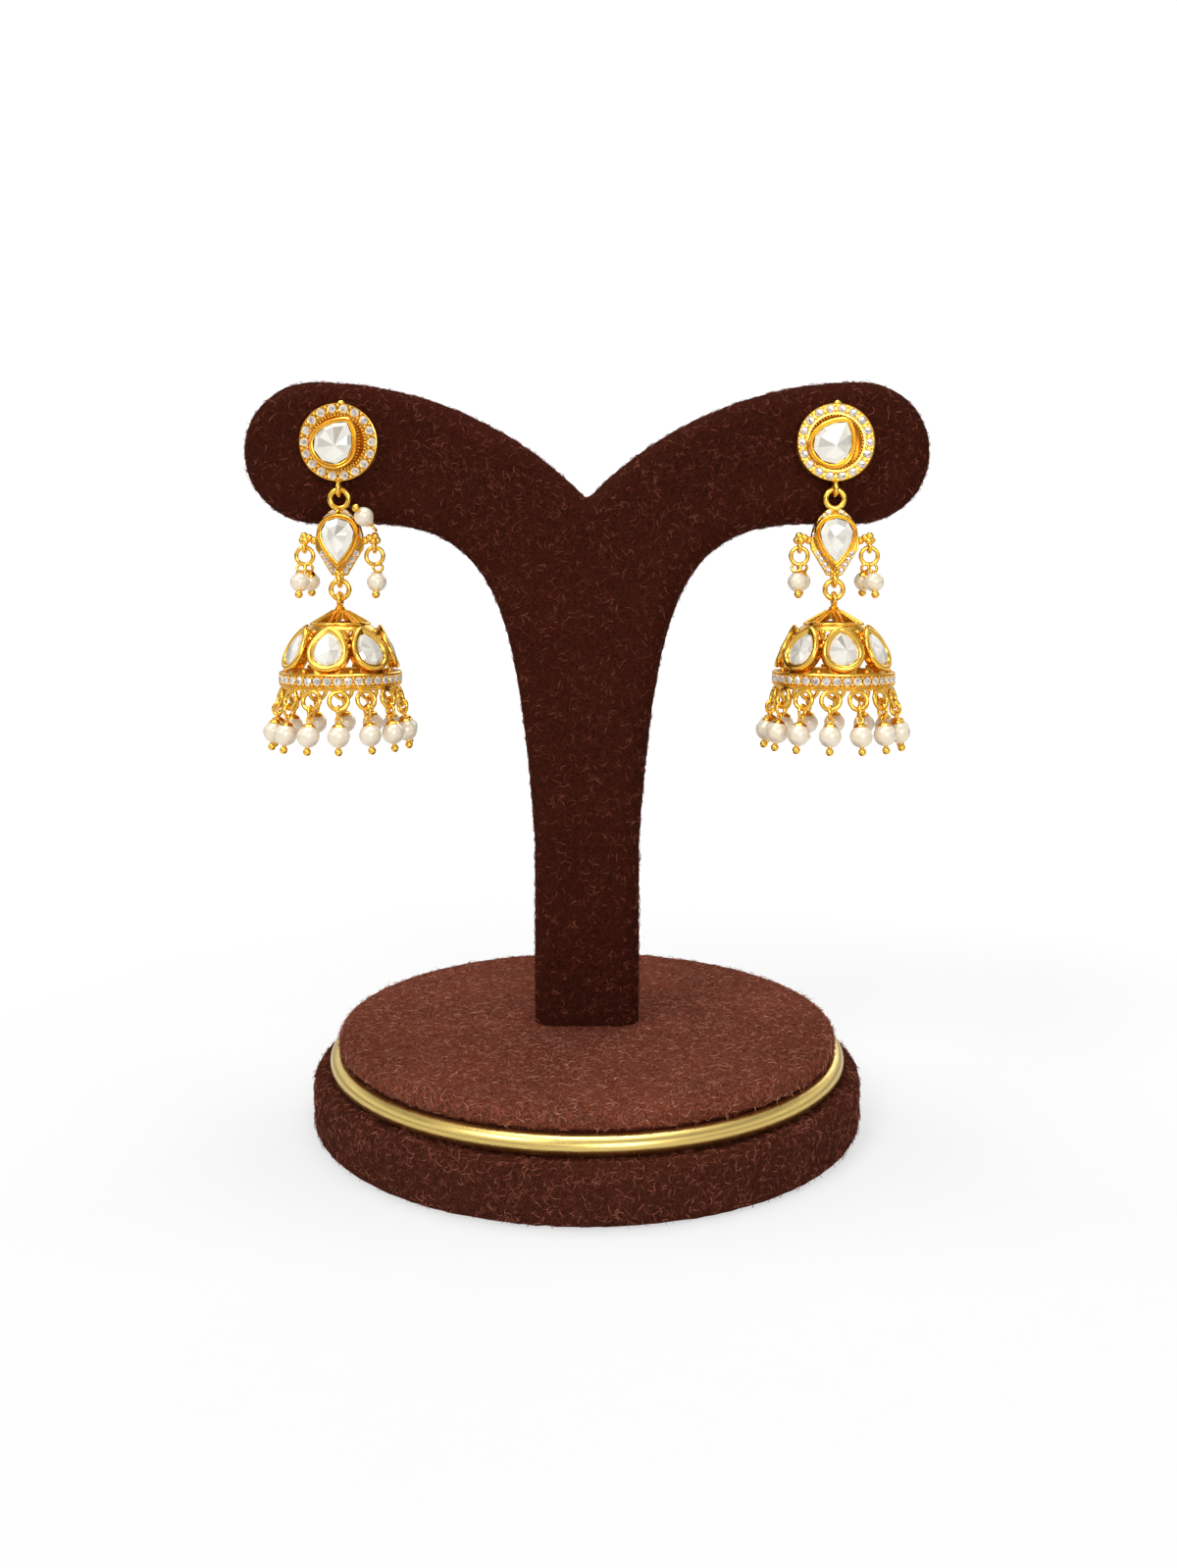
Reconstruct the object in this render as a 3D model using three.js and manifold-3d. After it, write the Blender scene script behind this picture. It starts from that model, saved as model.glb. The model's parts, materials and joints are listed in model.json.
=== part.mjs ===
// A pair of jhumka earrings on a felt-covered display stand.
// Millimetres, +Z up, the front faces -Y, and the origin is the middle of the base on the table.
import * as THREE from 'three';
import { mergeVertices } from 'three/addons/utils/BufferGeometryUtils.js';
import Module from 'manifold-3d';

const wasm = await Module();
wasm.setup();

// Base
const BASE_RADIUS = 43.5;
const BASE_HEIGHT = 8.2;
const TOP_DISC_RADIUS = 39.6;
const TOP_DISC_HEIGHT = 6.1;
const BASE_EDGE = 1.6;
const TOP_EDGE = 1.3;
const BASE_RING_WIRE = 3.0;
const BASE_RING_PROUD = 1.4;
const BASE_RING_GAP = 0.1;
const DISC_SIDES = 24;
const BASE_RING_SIDES = 5;

// Stem and arms
const STAND_HEIGHT = 116.4;
const STEM_WIDTH = 16.7;
const STEM_FLARE_HEIGHT = 44;
const ARM_REACH = 42.9;
const ARM_END_RADIUS = 11.1;
const NOTCH_DEPTH = 18.4;
const ARM_DEPTH = 11;
const ARM_EDGE = 3.6;
const POST_HOLE_GAP = 0.3;

// Where the earrings hang
const STUD_FROM_ARM_END = 4.7;
const STUD_DROP = 10;
const STUD_SEAT = 0.1;
const HANG_DEPTH = 1.3;

// Wires and their running gap
const LOOP_WIRE = 0.75;
const RING_WIRE = 0.9;
const LINK_WIRE = 0.8;
const FINE_WIRE = 0.6;
const WIRE_GAP = 0.08;
const WIRE_SIDES = 5;
const LINK_SIDES = 10;

// Stud
const STUD_RADIUS = 6;
const STUD_THICKNESS = 1.5;
const STUD_SIDES = 16;
const HALO_WIDTH = 1.75;
const HALO_RAISE = 0.6;
const STUD_BEZEL_WIDTH = 7.1;
const STUD_BEZEL_LENGTH = 8.6;
const STUD_BEZEL_HEIGHT = 1.7;
const STUD_BEZEL_TURN = -34;
const STUD_BEZEL_SHIFT = 0.4;
const STUD_POINT = 0.75;
const STUD_LOOP_DIAMETER = 2.85;
const POST_DIAMETER = 0.9;
const POST_LENGTH = 9.2;

// Bezels and stones
const BEZEL_RIM = 0.8;
const STONE_GAP = 0.15;
const BEZEL_FLOOR = 0.5;
const STONE_PROUD = 0.25;
const DROP_SIDES = 8;
const TABLE_SHARE = 0.5;

// Connector between the stud and the bell
const CONNECTOR_PLATE_WIDTH = 7.8;
const CONNECTOR_PLATE_LENGTH = 10.6;
const CONNECTOR_PLATE_THICKNESS = 1;
const CONNECTOR_BEZEL_WIDTH = 6.5;
const CONNECTOR_BEZEL_LENGTH = 8.5;
const CONNECTOR_BEZEL_HEIGHT = 1.8;
const CONNECTOR_POINT = 1;
const TOP_RING_DIAMETER = 3.75;
const TIP_LOOP_DIAMETER = 2.6;
const SOLDER_DEPTH = 0.3;

// Side drops of the connector
const SIDE_REACH = 5.4;
const SIDE_LOOP_DIAMETER = 2;
const SIDE_LOOP_DROP = 5.2;
const SIDE_RING_DIAMETER = 3.3;
const SIDE_RING_WIRE = 0.65;
const BEAD_DIAMETER = 1.2;
const BEAD_STRETCH = 1.7;
const SIDE_PEARL = 3;
const SIDE_EYE_DIAMETER = 1.9;
const SIDE_EYE_WIRE = 0.45;
const SIDE_SHIFT = 0.5;
const SIDE_FRONT_TILT = -27;
const SIDE_BACK_TILT = 32;
const RAISED_DROP_AIM = [-0.46, -0.65, 0.61];

// Link ring and bell
const LINK_RING_DIAMETER = 3.6;
const BAIL_DIAMETER = 2.7;
const COLLAR_RADIUS = 1.2;
const COLLAR_HEIGHT = 0.8;
const CAP_RADIUS = 4.5;
const CAP_HEIGHT = 1.9;
const CAP_THICKNESS = 0.7;
const SHOULDER_RADIUS = 5.3;
const SHOULDER_DROP = 0.7;
const BELL_RADIUS = 9.37;
const WALL_RADIUS = 8.2;
const BELL_WALL_HEIGHT = 7.3;
const BELL_WALL_THICKNESS = 0.7;
const BAND_HEIGHT = 2.1;
const BAND_THICKNESS = 1;
const BELL_STONES = 7;
const BELL_BEZEL_WIDTH = 6.5;
const BELL_BEZEL_LENGTH = 7.5;
const BELL_BEZEL_HEIGHT = 1.6;
const BELL_BEZEL_SINK = 0.25;
const BELL_POINT = 0.35;
const LOWER_WINDOW_WIDTH = 3.2;
const LOWER_WINDOW_HEIGHT = 3.4;
const CAP_RIB_WIDTH = 0.9;
const LEFT_BELL_TURN = -5;
const RIGHT_BELL_TURN = 0.6;

// Fringe under the bell
const DROPS_PER_STONE = 2;
const HOOP_WIDTH = 0.8;
const HOOP_HEIGHT = 0.35;
const HOOP_GAP = 0.1;
const HOOP_SOLDER = 0.15;
const FRINGE_RING_DIAMETER = 3.5;
const FRINGE_RING_WIRE = 0.72;
const FRINGE_RING_TILT = 14;
const FRINGE_PIN_LENGTH = 2.1;
const FRINGE_SPLAY = 10;
const FRINGE_PEARL = 3.4;

// Pearls on head pins
const SIDE_PIN_LENGTH = 0.7;
const BALL_DIAMETER = 1.25;
const BELT_SHARE = 0.35;
const BEAD_SIDES = 10;

function finish(name, color, roughness, metalness) {
  return new THREE.MeshStandardMaterial({ name, color, roughness, metalness });
}

const baseFelt = finish('base felt', 0x6b392d, 1, 0);
const standFelt = finish('stand felt', 0x5a2f26, 1, 0);
const gold = finish('gold', 0xe2a83a, 0.2, 1);
const brass = finish('brass', 0xc8a850, 0.3, 1);
const pearl = finish('pearl', 0xf0e4d2, 0.25, 0);
const stone = finish('stone', 0xe6ddca, 0.05, 0);

// Solids from closed meshes, and back

function solidOf(geometry) {
  const bare = geometry.clone();
  bare.deleteAttribute('normal');
  bare.deleteAttribute('uv');
  const merged = mergeVertices(bare, 1e-5);
  const corners = merged.index.array;
  const triangles = [];
  for (let i = 0; i < corners.length; i += 3) {
    const [a, b, c] = corners.subarray(i, i + 3);
    if (a !== b && b !== c && c !== a) triangles.push(a, b, c);
  }
  return new wasm.Manifold(new wasm.Mesh({
    numProp: 3,
    vertProperties: new Float32Array(merged.attributes.position.array),
    triVerts: new Uint32Array(triangles),
  }));
}

function geometryOf(solid) {
  const made = solid.getMesh();
  const geometry = new THREE.BufferGeometry();
  geometry.setAttribute('position', new THREE.BufferAttribute(made.vertProperties, 3));
  geometry.setIndex(new THREE.BufferAttribute(made.triVerts, 1));
  geometry.computeVertexNormals();
  return geometry;
}

function joined(geometries) {
  return geometries.map(solidOf).reduce((whole, part) => whole.add(part));
}

function cutFrom(solid, geometries) {
  return geometries.map(solidOf).reduce((whole, part) => whole.subtract(part), solid);
}

function named(name, geometry, material) {
  const mesh = new THREE.Mesh(geometry, material);
  mesh.name = name;
  return mesh;
}

// Shapes that repeat

// A body turned about Z; the profile is a closed list of [radius, height], counterclockwise
function turned(profile, sides, first = 0) {
  const points = profile.map(([radius, height]) => new THREE.Vector2(radius, height));
  if (points[0].x > 0) points.push(points[0].clone());
  return new THREE.LatheGeometry(points, sides, first).rotateX(Math.PI / 2);
}

// A wire ring with its hole facing the viewer, or side-on to the viewer
function wireRing(outer, wire, sideOn) {
  const geometry = new THREE.TorusGeometry((outer - wire) / 2, wire / 2, WIRE_SIDES, LINK_SIDES);
  geometry.rotateX(Math.PI / 2);
  return sideOn ? geometry.rotateZ(Math.PI / 2) : geometry;
}

// The half width of a drop at an angle from its point, as a share of its greatest half width
function dropWidth(angle, point) {
  const widest = 2 * ((1 + point) / (2 + point)) ** ((1 + point) / 2) / Math.sqrt(2 + point);
  return Math.sin(angle) * Math.abs(Math.sin(angle / 2)) ** point / widest;
}

// Bends a turned body of unit radius to a drop that faces the viewer, with its point up
function dropShaped(geometry, width, length, point) {
  const position = geometry.attributes.position;
  for (let i = 0; i < position.count; i += 1) {
    const x = position.getX(i);
    const y = position.getY(i);
    const share = Math.hypot(x, y);
    const angle = Math.atan2(x, y);
    const reach = dropWidth(angle, point) * width / 2;
    position.setXY(i, share * reach, share * Math.cos(angle) * length / 2);
  }
  return geometry.rotateX(Math.PI / 2);
}

function bezelCup(width, length, height, point) {
  const inner = 1 - 2 * BEZEL_RIM / width;
  const profile = [[0, 0], [1, 0], [1, height], [inner, height], [inner, BEZEL_FLOOR], [0, BEZEL_FLOOR]];
  return dropShaped(turned(profile, DROP_SIDES), width, length, point);
}

// A stone with a table and a ring of facets, sitting in the cup that bezelCup makes
function cutStone(width, length, height, point) {
  const girdle = 1 - 2 * (BEZEL_RIM + STONE_GAP) / width;
  const base = BEZEL_FLOOR + STONE_GAP;
  const top = height + STONE_PROUD;
  const profile = [[0, base], [girdle, base], [girdle * TABLE_SHARE, top], [0, top]];
  return dropShaped(turned(profile, DROP_SIDES), width, length, point);
}

// A pearl on its head pin: the cap tapers to the wire at the origin, and a ball ends the pin below
function pearlDrop(diameter, pinLength) {
  const radius = diameter / 2;
  const ball = BALL_DIAMETER / 2;
  const middle = -pinLength - radius;
  const foot = middle - radius;
  const belt = radius * BELT_SHARE;
  return turned([
    [0, foot - 2 * ball],
    [ball, foot - ball],
    [radius, middle - belt],
    [radius, middle + belt],
    [0, BALL_DIAMETER / 5],
  ], BEAD_SIDES);
}

// Display stand

const earringOffset = ARM_REACH - STUD_FROM_ARM_END;
const topDiscBase = BASE_HEIGHT;
const standFoot = BASE_HEIGHT + TOP_DISC_HEIGHT;
const baseRingRadius = TOP_DISC_RADIUS + BASE_RING_PROUD - BASE_RING_WIRE / 2;

function baseLower() {
  return turned([
    [0, 0],
    [BASE_RADIUS - BASE_EDGE / 2, 0],
    [BASE_RADIUS, BASE_EDGE / 2],
    [BASE_RADIUS, BASE_HEIGHT - BASE_EDGE],
    [BASE_RADIUS - BASE_EDGE * 0.3, BASE_HEIGHT - BASE_EDGE * 0.3],
    [BASE_RADIUS - BASE_EDGE, BASE_HEIGHT],
    [0, BASE_HEIGHT],
  ], DISC_SIDES);
}

function baseUpper() {
  const foot = baseRingRadius - BASE_RING_WIRE / 2 - BASE_RING_GAP;
  const overRing = topDiscBase + BASE_RING_WIRE + 2 * BASE_RING_GAP;
  return turned([
    [0, topDiscBase],
    [foot, topDiscBase],
    [foot, overRing],
    [TOP_DISC_RADIUS, overRing],
    [TOP_DISC_RADIUS, standFoot - TOP_EDGE],
    [TOP_DISC_RADIUS - TOP_EDGE * 0.3, standFoot - TOP_EDGE * 0.3],
    [TOP_DISC_RADIUS - TOP_EDGE, standFoot],
    [0, standFoot],
  ], DISC_SIDES);
}

function baseRing() {
  return new THREE.TorusGeometry(baseRingRadius, BASE_RING_WIRE / 2, BASE_RING_SIDES, DISC_SIDES)
    .rotateZ(Math.PI / 2)
    .translate(0, 0, topDiscBase + BASE_RING_WIRE / 2 + BASE_RING_GAP);
}

// Half of the Y from the foot of the stem to the notch, on the +X side
function armOutline() {
  const half = STEM_WIDTH / 2;
  const endHeight = STAND_HEIGHT - ARM_END_RADIUS;
  const under = STAND_HEIGHT - 2 * ARM_END_RADIUS;
  const rise = under - STEM_FLARE_HEIGHT;
  const run = ARM_REACH - half;
  const sag = (ARM_REACH ** 2 + NOTCH_DEPTH ** 2) / (2 * NOTCH_DEPTH);
  const flare = new THREE.CubicBezierCurve(
    new THREE.Vector2(half, STEM_FLARE_HEIGHT),
    new THREE.Vector2(half + run * 0.08, STEM_FLARE_HEIGHT + rise * 0.7),
    new THREE.Vector2(half + run * 0.15, under),
    new THREE.Vector2(half + run * 0.75, under),
  ).getPoints(5);
  const end = new THREE.EllipseCurve(
    ARM_REACH, endHeight, ARM_END_RADIUS, ARM_END_RADIUS, -Math.PI / 2, Math.PI / 2,
  ).getPoints(6);
  const dip = new THREE.EllipseCurve(
    ARM_REACH, STAND_HEIGHT - sag, sag, sag, Math.PI / 2, Math.PI - Math.acos(ARM_REACH / sag),
  ).getPoints(4).slice(1);
  return [new THREE.Vector2(half, standFoot - 2 * ARM_EDGE), ...flare, ...end, ...dip];
}

// The Y lies flat while it is drawn; its foot is cut level where it stands on the top disc
function standArms() {
  const right = armOutline();
  const left = right.slice(0, -1).reverse().map((p) => new THREE.Vector2(-p.x, p.y));
  const body = new THREE.ExtrudeGeometry(new THREE.Shape([...right, ...left]), {
    depth: ARM_DEPTH - 2 * ARM_EDGE,
    bevelThickness: ARM_EDGE,
    bevelSize: ARM_EDGE,
    bevelOffset: -ARM_EDGE,
    bevelSegments: 2,
    steps: 1,
  }).rotateX(Math.PI / 2).translate(0, ARM_DEPTH / 2 - ARM_EDGE, 0);
  const holeDepth = STUD_SEAT + POST_LENGTH + POST_HOLE_GAP;
  const holes = [-earringOffset, earringOffset].map((x) => new THREE.CylinderGeometry(
    POST_DIAMETER / 2 + POST_HOLE_GAP, POST_DIAMETER / 2 + POST_HOLE_GAP, holeDepth, 6,
  ).translate(x, (holeDepth - ARM_DEPTH) / 2 - STUD_SEAT, STAND_HEIGHT - STUD_DROP));
  const below = new THREE.BoxGeometry(2 * STEM_WIDTH, 2 * ARM_DEPTH, 2 * standFoot);
  return geometryOf(cutFrom(solidOf(body), [...holes, below]));
}

// Stud

const loopRun = STUD_LOOP_DIAMETER - LOOP_WIRE;
const connectorDrop = STUD_RADIUS + loopRun;

function studSetting() {
  const inside = STUD_RADIUS - HALO_WIDTH;
  const halo = turned([
    [0, 0],
    [STUD_RADIUS, 0],
    [STUD_RADIUS, STUD_THICKNESS + HALO_RAISE],
    [inside, STUD_THICKNESS + HALO_RAISE],
    [inside, STUD_THICKNESS],
    [0, STUD_THICKNESS],
  ], STUD_SIDES).rotateX(Math.PI / 2);
  const bezel = bezelCup(STUD_BEZEL_WIDTH, STUD_BEZEL_LENGTH, STUD_BEZEL_HEIGHT, STUD_POINT)
    .rotateY(THREE.MathUtils.degToRad(-STUD_BEZEL_TURN))
    .translate(-STUD_BEZEL_SHIFT, -STUD_THICKNESS + BEZEL_FLOOR / 2, 0);
  const loop = wireRing(STUD_LOOP_DIAMETER, LOOP_WIRE, true)
    .translate(0, -HANG_DEPTH, -STUD_RADIUS - loopRun / 2);
  const postRoot = STUD_THICKNESS / 2;
  const post = new THREE.CylinderGeometry(POST_DIAMETER / 2, POST_DIAMETER / 2, POST_LENGTH + postRoot, 6)
    .translate(0, (POST_LENGTH - postRoot) / 2, 0);
  return geometryOf(joined([halo, bezel, loop, post]));
}

function studStone() {
  return cutStone(STUD_BEZEL_WIDTH, STUD_BEZEL_LENGTH, STUD_BEZEL_HEIGHT, STUD_POINT)
    .rotateY(THREE.MathUtils.degToRad(-STUD_BEZEL_TURN))
    .translate(-STUD_BEZEL_SHIFT, -STUD_THICKNESS + BEZEL_FLOOR / 2, 0);
}

// Connector, with its origin at the middle of the stud loop's lowest wire

const topRingCentre = -(TOP_RING_DIAMETER / 2 - RING_WIRE - LOOP_WIRE / 2 - WIRE_GAP);
const plateTop = topRingCentre - TOP_RING_DIAMETER / 2 + SOLDER_DEPTH * 2;
const plateMiddle = plateTop - CONNECTOR_PLATE_LENGTH / 2;
const plateTip = plateTop - CONNECTOR_PLATE_LENGTH;
const tipLoopCentre = plateTip + SOLDER_DEPTH - (TIP_LOOP_DIAMETER - LOOP_WIRE) / 2;
const linkDrop = tipLoopCentre - (TIP_LOOP_DIAMETER - LOOP_WIRE) / 2;
const sideLoopTop = plateTop - SIDE_LOOP_DROP;
const sideRingCentre = sideLoopTop - SIDE_LOOP_DIAMETER + FINE_WIRE + WIRE_GAP
  - (SIDE_RING_DIAMETER / 2 - SIDE_RING_WIRE);

function beadCluster(side) {
  const size = BEAD_DIAMETER / 2;
  const inner = CONNECTOR_PLATE_WIDTH / 2 - size / 3;
  const spread = SIDE_REACH - inner;
  return [0.1, 0.9].map((share) => new THREE.OctahedronGeometry(size)
    .scale(BEAD_STRETCH, 1, 1)
    .translate(side * (inner + spread * share), 0, sideLoopTop + size * 0.4));
}

function connectorSetting() {
  const half = CONNECTOR_PLATE_THICKNESS / 2;
  const plate = dropShaped(
    turned([[0, -half], [1, -half], [1, half], [0, half]], 12),
    CONNECTOR_PLATE_WIDTH, CONNECTOR_PLATE_LENGTH, CONNECTOR_POINT,
  ).rotateY(Math.PI).translate(0, 0, plateMiddle);
  const bezel = bezelCup(
    CONNECTOR_BEZEL_WIDTH, CONNECTOR_BEZEL_LENGTH, CONNECTOR_BEZEL_HEIGHT, CONNECTOR_POINT,
  ).rotateY(Math.PI).translate(0, -half / 2, plateMiddle);
  const topRing = wireRing(TOP_RING_DIAMETER, RING_WIRE, false).translate(0, 0, topRingCentre);
  const tipLoop = wireRing(TIP_LOOP_DIAMETER, LOOP_WIRE, true).translate(0, 0, tipLoopCentre);
  const sideLoops = [-1, 1].map((side) => wireRing(SIDE_LOOP_DIAMETER, FINE_WIRE, true)
    .translate(side * SIDE_REACH, 0, sideLoopTop - SIDE_LOOP_DIAMETER / 2));
  return geometryOf(joined([
    plate, bezel, topRing, tipLoop, ...sideLoops, ...beadCluster(-1), ...beadCluster(1),
  ]));
}

function connectorStone() {
  return cutStone(CONNECTOR_BEZEL_WIDTH, CONNECTOR_BEZEL_LENGTH, CONNECTOR_BEZEL_HEIGHT, CONNECTOR_POINT)
    .rotateY(Math.PI)
    .translate(0, -CONNECTOR_PLATE_THICKNESS / 4, plateMiddle);
}

function sideRing() {
  return wireRing(SIDE_RING_DIAMETER, SIDE_RING_WIRE, false);
}

// A pearl drop with its eye round the lowest wire of a side ring, which is its origin
function sideDrop() {
  const eyeCentre = SIDE_RING_WIRE / 2 + WIRE_GAP + SIDE_EYE_WIRE - SIDE_EYE_DIAMETER / 2;
  const eye = wireRing(SIDE_EYE_DIAMETER, SIDE_EYE_WIRE, true).translate(0, 0, eyeCentre);
  const bead = pearlDrop(SIDE_PEARL, SIDE_PIN_LENGTH)
    .translate(0, 0, eyeCentre - (SIDE_EYE_DIAMETER - SIDE_EYE_WIRE) / 2);
  return geometryOf(joined([eye, bead]));
}

// Bell, with its origin at the middle of the link ring's lowest wire

const bailCentre = LINK_WIRE / 2 + WIRE_GAP + LOOP_WIRE - BAIL_DIAMETER / 2;
const collarTop = bailCentre - BAIL_DIAMETER / 2 + SOLDER_DEPTH;
const capTop = collarTop - COLLAR_HEIGHT;
const capBase = capTop - CAP_HEIGHT;
const shoulderBase = capBase - SHOULDER_DROP;
const bandTop = capBase - BELL_WALL_HEIGHT;
const bandBase = bandTop - BAND_HEIGHT;
const bellDrops = BELL_STONES * DROPS_PER_STONE;
const dropStep = 2 * Math.PI / bellDrops;
const stoneStep = 2 * Math.PI / BELL_STONES;

function cornerPrism(points, depth) {
  const shape = new THREE.Shape(points.map(([x, y]) => new THREE.Vector2(x, y)));
  return new THREE.ExtrudeGeometry(shape, { depth, bevelEnabled: false });
}

// Openings between the ribs of the cap, and between the bezels above the band
function bellWindows() {
  const windows = [];
  const half = stoneStep / 2;
  const capInner = COLLAR_RADIUS + CAP_RIB_WIDTH;
  const capOuter = CAP_RADIUS - CAP_RIB_WIDTH;
  const capWidth = capOuter * Math.tan(half) - CAP_RIB_WIDTH / 2;
  const lowerHalf = LOWER_WINDOW_WIDTH / 2;
  for (let i = 0; i < BELL_STONES; i += 1) {
    const gap = (i + 0.5) * stoneStep;
    const capCorners = [[-capWidth, -capOuter], [capWidth, -capOuter], [0, -capInner]];
    windows.push(cornerPrism(capCorners, 2 * CAP_HEIGHT)
      .translate(0, 0, capBase - CAP_HEIGHT / 2)
      .rotateZ(gap));
    const lowerCorners = [[-lowerHalf, 0], [lowerHalf, 0], [0, LOWER_WINDOW_HEIGHT]];
    windows.push(cornerPrism(lowerCorners, BELL_RADIUS)
      .rotateX(Math.PI / 2)
      .translate(0, -CAP_RADIUS, bandTop)
      .rotateZ(gap));
  }
  return windows;
}

function bezelPlace(geometry) {
  const wallTilt = Math.atan2(WALL_RADIUS - SHOULDER_RADIUS, shoulderBase - bandTop);
  const middle = (shoulderBase + bandTop) / 2;
  const wallMiddle = (SHOULDER_RADIUS + WALL_RADIUS) / 2 * Math.cos(dropStep / 2);
  return geometry.rotateX(-wallTilt).translate(0, BELL_BEZEL_SINK - wallMiddle, middle);
}

function bellDome() {
  const wall = BELL_WALL_THICKNESS;
  const shell = turned([
    [0, capTop - CAP_THICKNESS],
    [SHOULDER_RADIUS - wall, shoulderBase - CAP_THICKNESS],
    [WALL_RADIUS - wall, bandTop],
    [BELL_RADIUS - BAND_THICKNESS, bandBase],
    [BELL_RADIUS, bandBase],
    [BELL_RADIUS, bandTop],
    [WALL_RADIUS, bandTop],
    [SHOULDER_RADIUS, shoulderBase],
    [CAP_RADIUS, capBase],
    [COLLAR_RADIUS, capTop],
    [COLLAR_RADIUS, collarTop],
    [0, collarTop],
  ], bellDrops, dropStep / 2);
  const bezels = [];
  for (let i = 0; i < BELL_STONES; i += 1) {
    const cup = bezelCup(BELL_BEZEL_WIDTH, BELL_BEZEL_LENGTH, BELL_BEZEL_HEIGHT, BELL_POINT);
    bezels.push(bezelPlace(cup).rotateZ(i * stoneStep));
  }
  const bail = wireRing(BAIL_DIAMETER, LOOP_WIRE, true).translate(0, 0, bailCentre);
  return geometryOf(cutFrom(solidOf(shell), bellWindows()).add(joined([...bezels, bail])));
}

function bellStone(index) {
  return bezelPlace(cutStone(BELL_BEZEL_WIDTH, BELL_BEZEL_LENGTH, BELL_BEZEL_HEIGHT, BELL_POINT))
    .rotateZ(index * stoneStep);
}

function bellFringe() {
  const hoopTop = bandBase - HOOP_GAP;
  const hoopRadius = BELL_RADIUS - BAND_THICKNESS / 2;
  const hoopIn = hoopRadius - HOOP_WIDTH / 2;
  const hoopOut = hoopRadius + HOOP_WIDTH / 2;
  const hoop = turned([
    [hoopIn, hoopTop - HOOP_HEIGHT],
    [hoopOut, hoopTop - HOOP_HEIGHT],
    [hoopOut, hoopTop],
    [hoopIn, hoopTop],
  ], bellDrops, dropStep / 2);
  const tilt = THREE.MathUtils.degToRad(FRINGE_RING_TILT);
  const splay = THREE.MathUtils.degToRad(FRINGE_SPLAY);
  const lowestWire = FRINGE_RING_DIAMETER - FRINGE_RING_WIRE / 2;
  const ringTop = hoopTop - HOOP_HEIGHT + HOOP_SOLDER;
  const pieces = [hoop];
  for (let i = 0; i < bellDrops; i += 1) {
    const ring = wireRing(FRINGE_RING_DIAMETER, FRINGE_RING_WIRE, false)
      .translate(0, 0, -FRINGE_RING_DIAMETER / 2)
      .rotateX(-tilt)
      .translate(0, -hoopRadius, ringTop);
    const drop = pearlDrop(FRINGE_PEARL, FRINGE_PIN_LENGTH)
      .rotateX(-splay)
      .translate(0, -hoopRadius - lowestWire * Math.sin(tilt), ringTop - lowestWire * Math.cos(tilt));
    pieces.push(...[ring, drop].map((piece) => piece.rotateZ((i + 0.5) * dropStep)));
  }
  return geometryOf(joined(pieces));
}

// Assembly: each level hangs at the wire that carries it

function sideDropPlace(side, tilt, shift) {
  const drop = new THREE.Group();
  const lowestWire = sideRingCentre - (SIDE_RING_DIAMETER - SIDE_RING_WIRE) / 2;
  drop.position.set(side * (SIDE_REACH - shift), 0, lowestWire);
  drop.rotation.x = THREE.MathUtils.degToRad(tilt);
  return drop;
}

// The one drop that has flipped up: its eye lies on the bead cluster and its pearl before the plate
function raisedDropPlace() {
  const drop = new THREE.Group();
  const bead = BEAD_DIAMETER / 2;
  const eyeHeight = sideLoopTop + bead * 1.4 + SIDE_EYE_DIAMETER / 2;
  drop.position.set(SIDE_REACH + bead * 0.2, -bead * 0.5, eyeHeight);
  const down = new THREE.Vector3(0, 0, -1);
  drop.quaternion.setFromUnitVectors(down, new THREE.Vector3(...RAISED_DROP_AIM).normalize());
  return drop;
}

function earring(name, bellTurn, raisedDrop) {
  const stud = new THREE.Group();
  stud.add(named(`${name}_stud_setting`, studSetting(), gold));
  stud.add(named(`${name}_stud_stone`, studStone(), stone));

  const connector = new THREE.Group();
  connector.position.set(0, -HANG_DEPTH, -connectorDrop);
  connector.add(named(`${name}_connector_setting`, connectorSetting(), gold));
  connector.add(named(`${name}_connector_stone`, connectorStone(), stone));
  [['a', -1], ['b', 1]].forEach(([letter, side]) => {
    const ring = named(`${name}_side_ring_${letter}`, sideRing(), gold);
    ring.position.set(side * SIDE_REACH, 0, sideRingCentre);
    connector.add(ring);
  });
  const drops = [
    ['a', sideDropPlace(-1, SIDE_FRONT_TILT, -SIDE_SHIFT)],
    ['b', sideDropPlace(1, SIDE_FRONT_TILT, -SIDE_SHIFT)],
    ['c', sideDropPlace(-1, SIDE_BACK_TILT, SIDE_SHIFT)],
    ['d', raisedDrop ? raisedDropPlace() : sideDropPlace(1, SIDE_BACK_TILT, SIDE_SHIFT)],
  ];
  drops.forEach(([letter, place]) => {
    place.add(named(`${name}_side_drop_${letter}`, sideDrop(), pearl));
    connector.add(place);
  });
  stud.add(connector);

  const link = new THREE.Group();
  link.position.set(0, 0, linkDrop);
  const linkCentre = -(LINK_RING_DIAMETER / 2 - LINK_WIRE - LOOP_WIRE / 2 - WIRE_GAP);
  const ring = named(`${name}_link_ring`, wireRing(LINK_RING_DIAMETER, LINK_WIRE, false), gold);
  ring.position.set(0, 0, linkCentre);
  link.add(ring);
  connector.add(link);

  const bell = new THREE.Group();
  bell.position.set(0, 0, linkCentre - (LINK_RING_DIAMETER - LINK_WIRE) / 2);
  bell.rotation.z = THREE.MathUtils.degToRad(bellTurn);
  bell.add(named(`${name}_bell_dome`, bellDome(), gold));
  for (let i = 0; i < BELL_STONES; i += 1) {
    bell.add(named(`${name}_bell_stone_${i + 1}`, bellStone(i), stone));
  }
  bell.add(named(`${name}_bell_fringe`, bellFringe(), pearl));
  link.add(bell);
  return stud;
}

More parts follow.
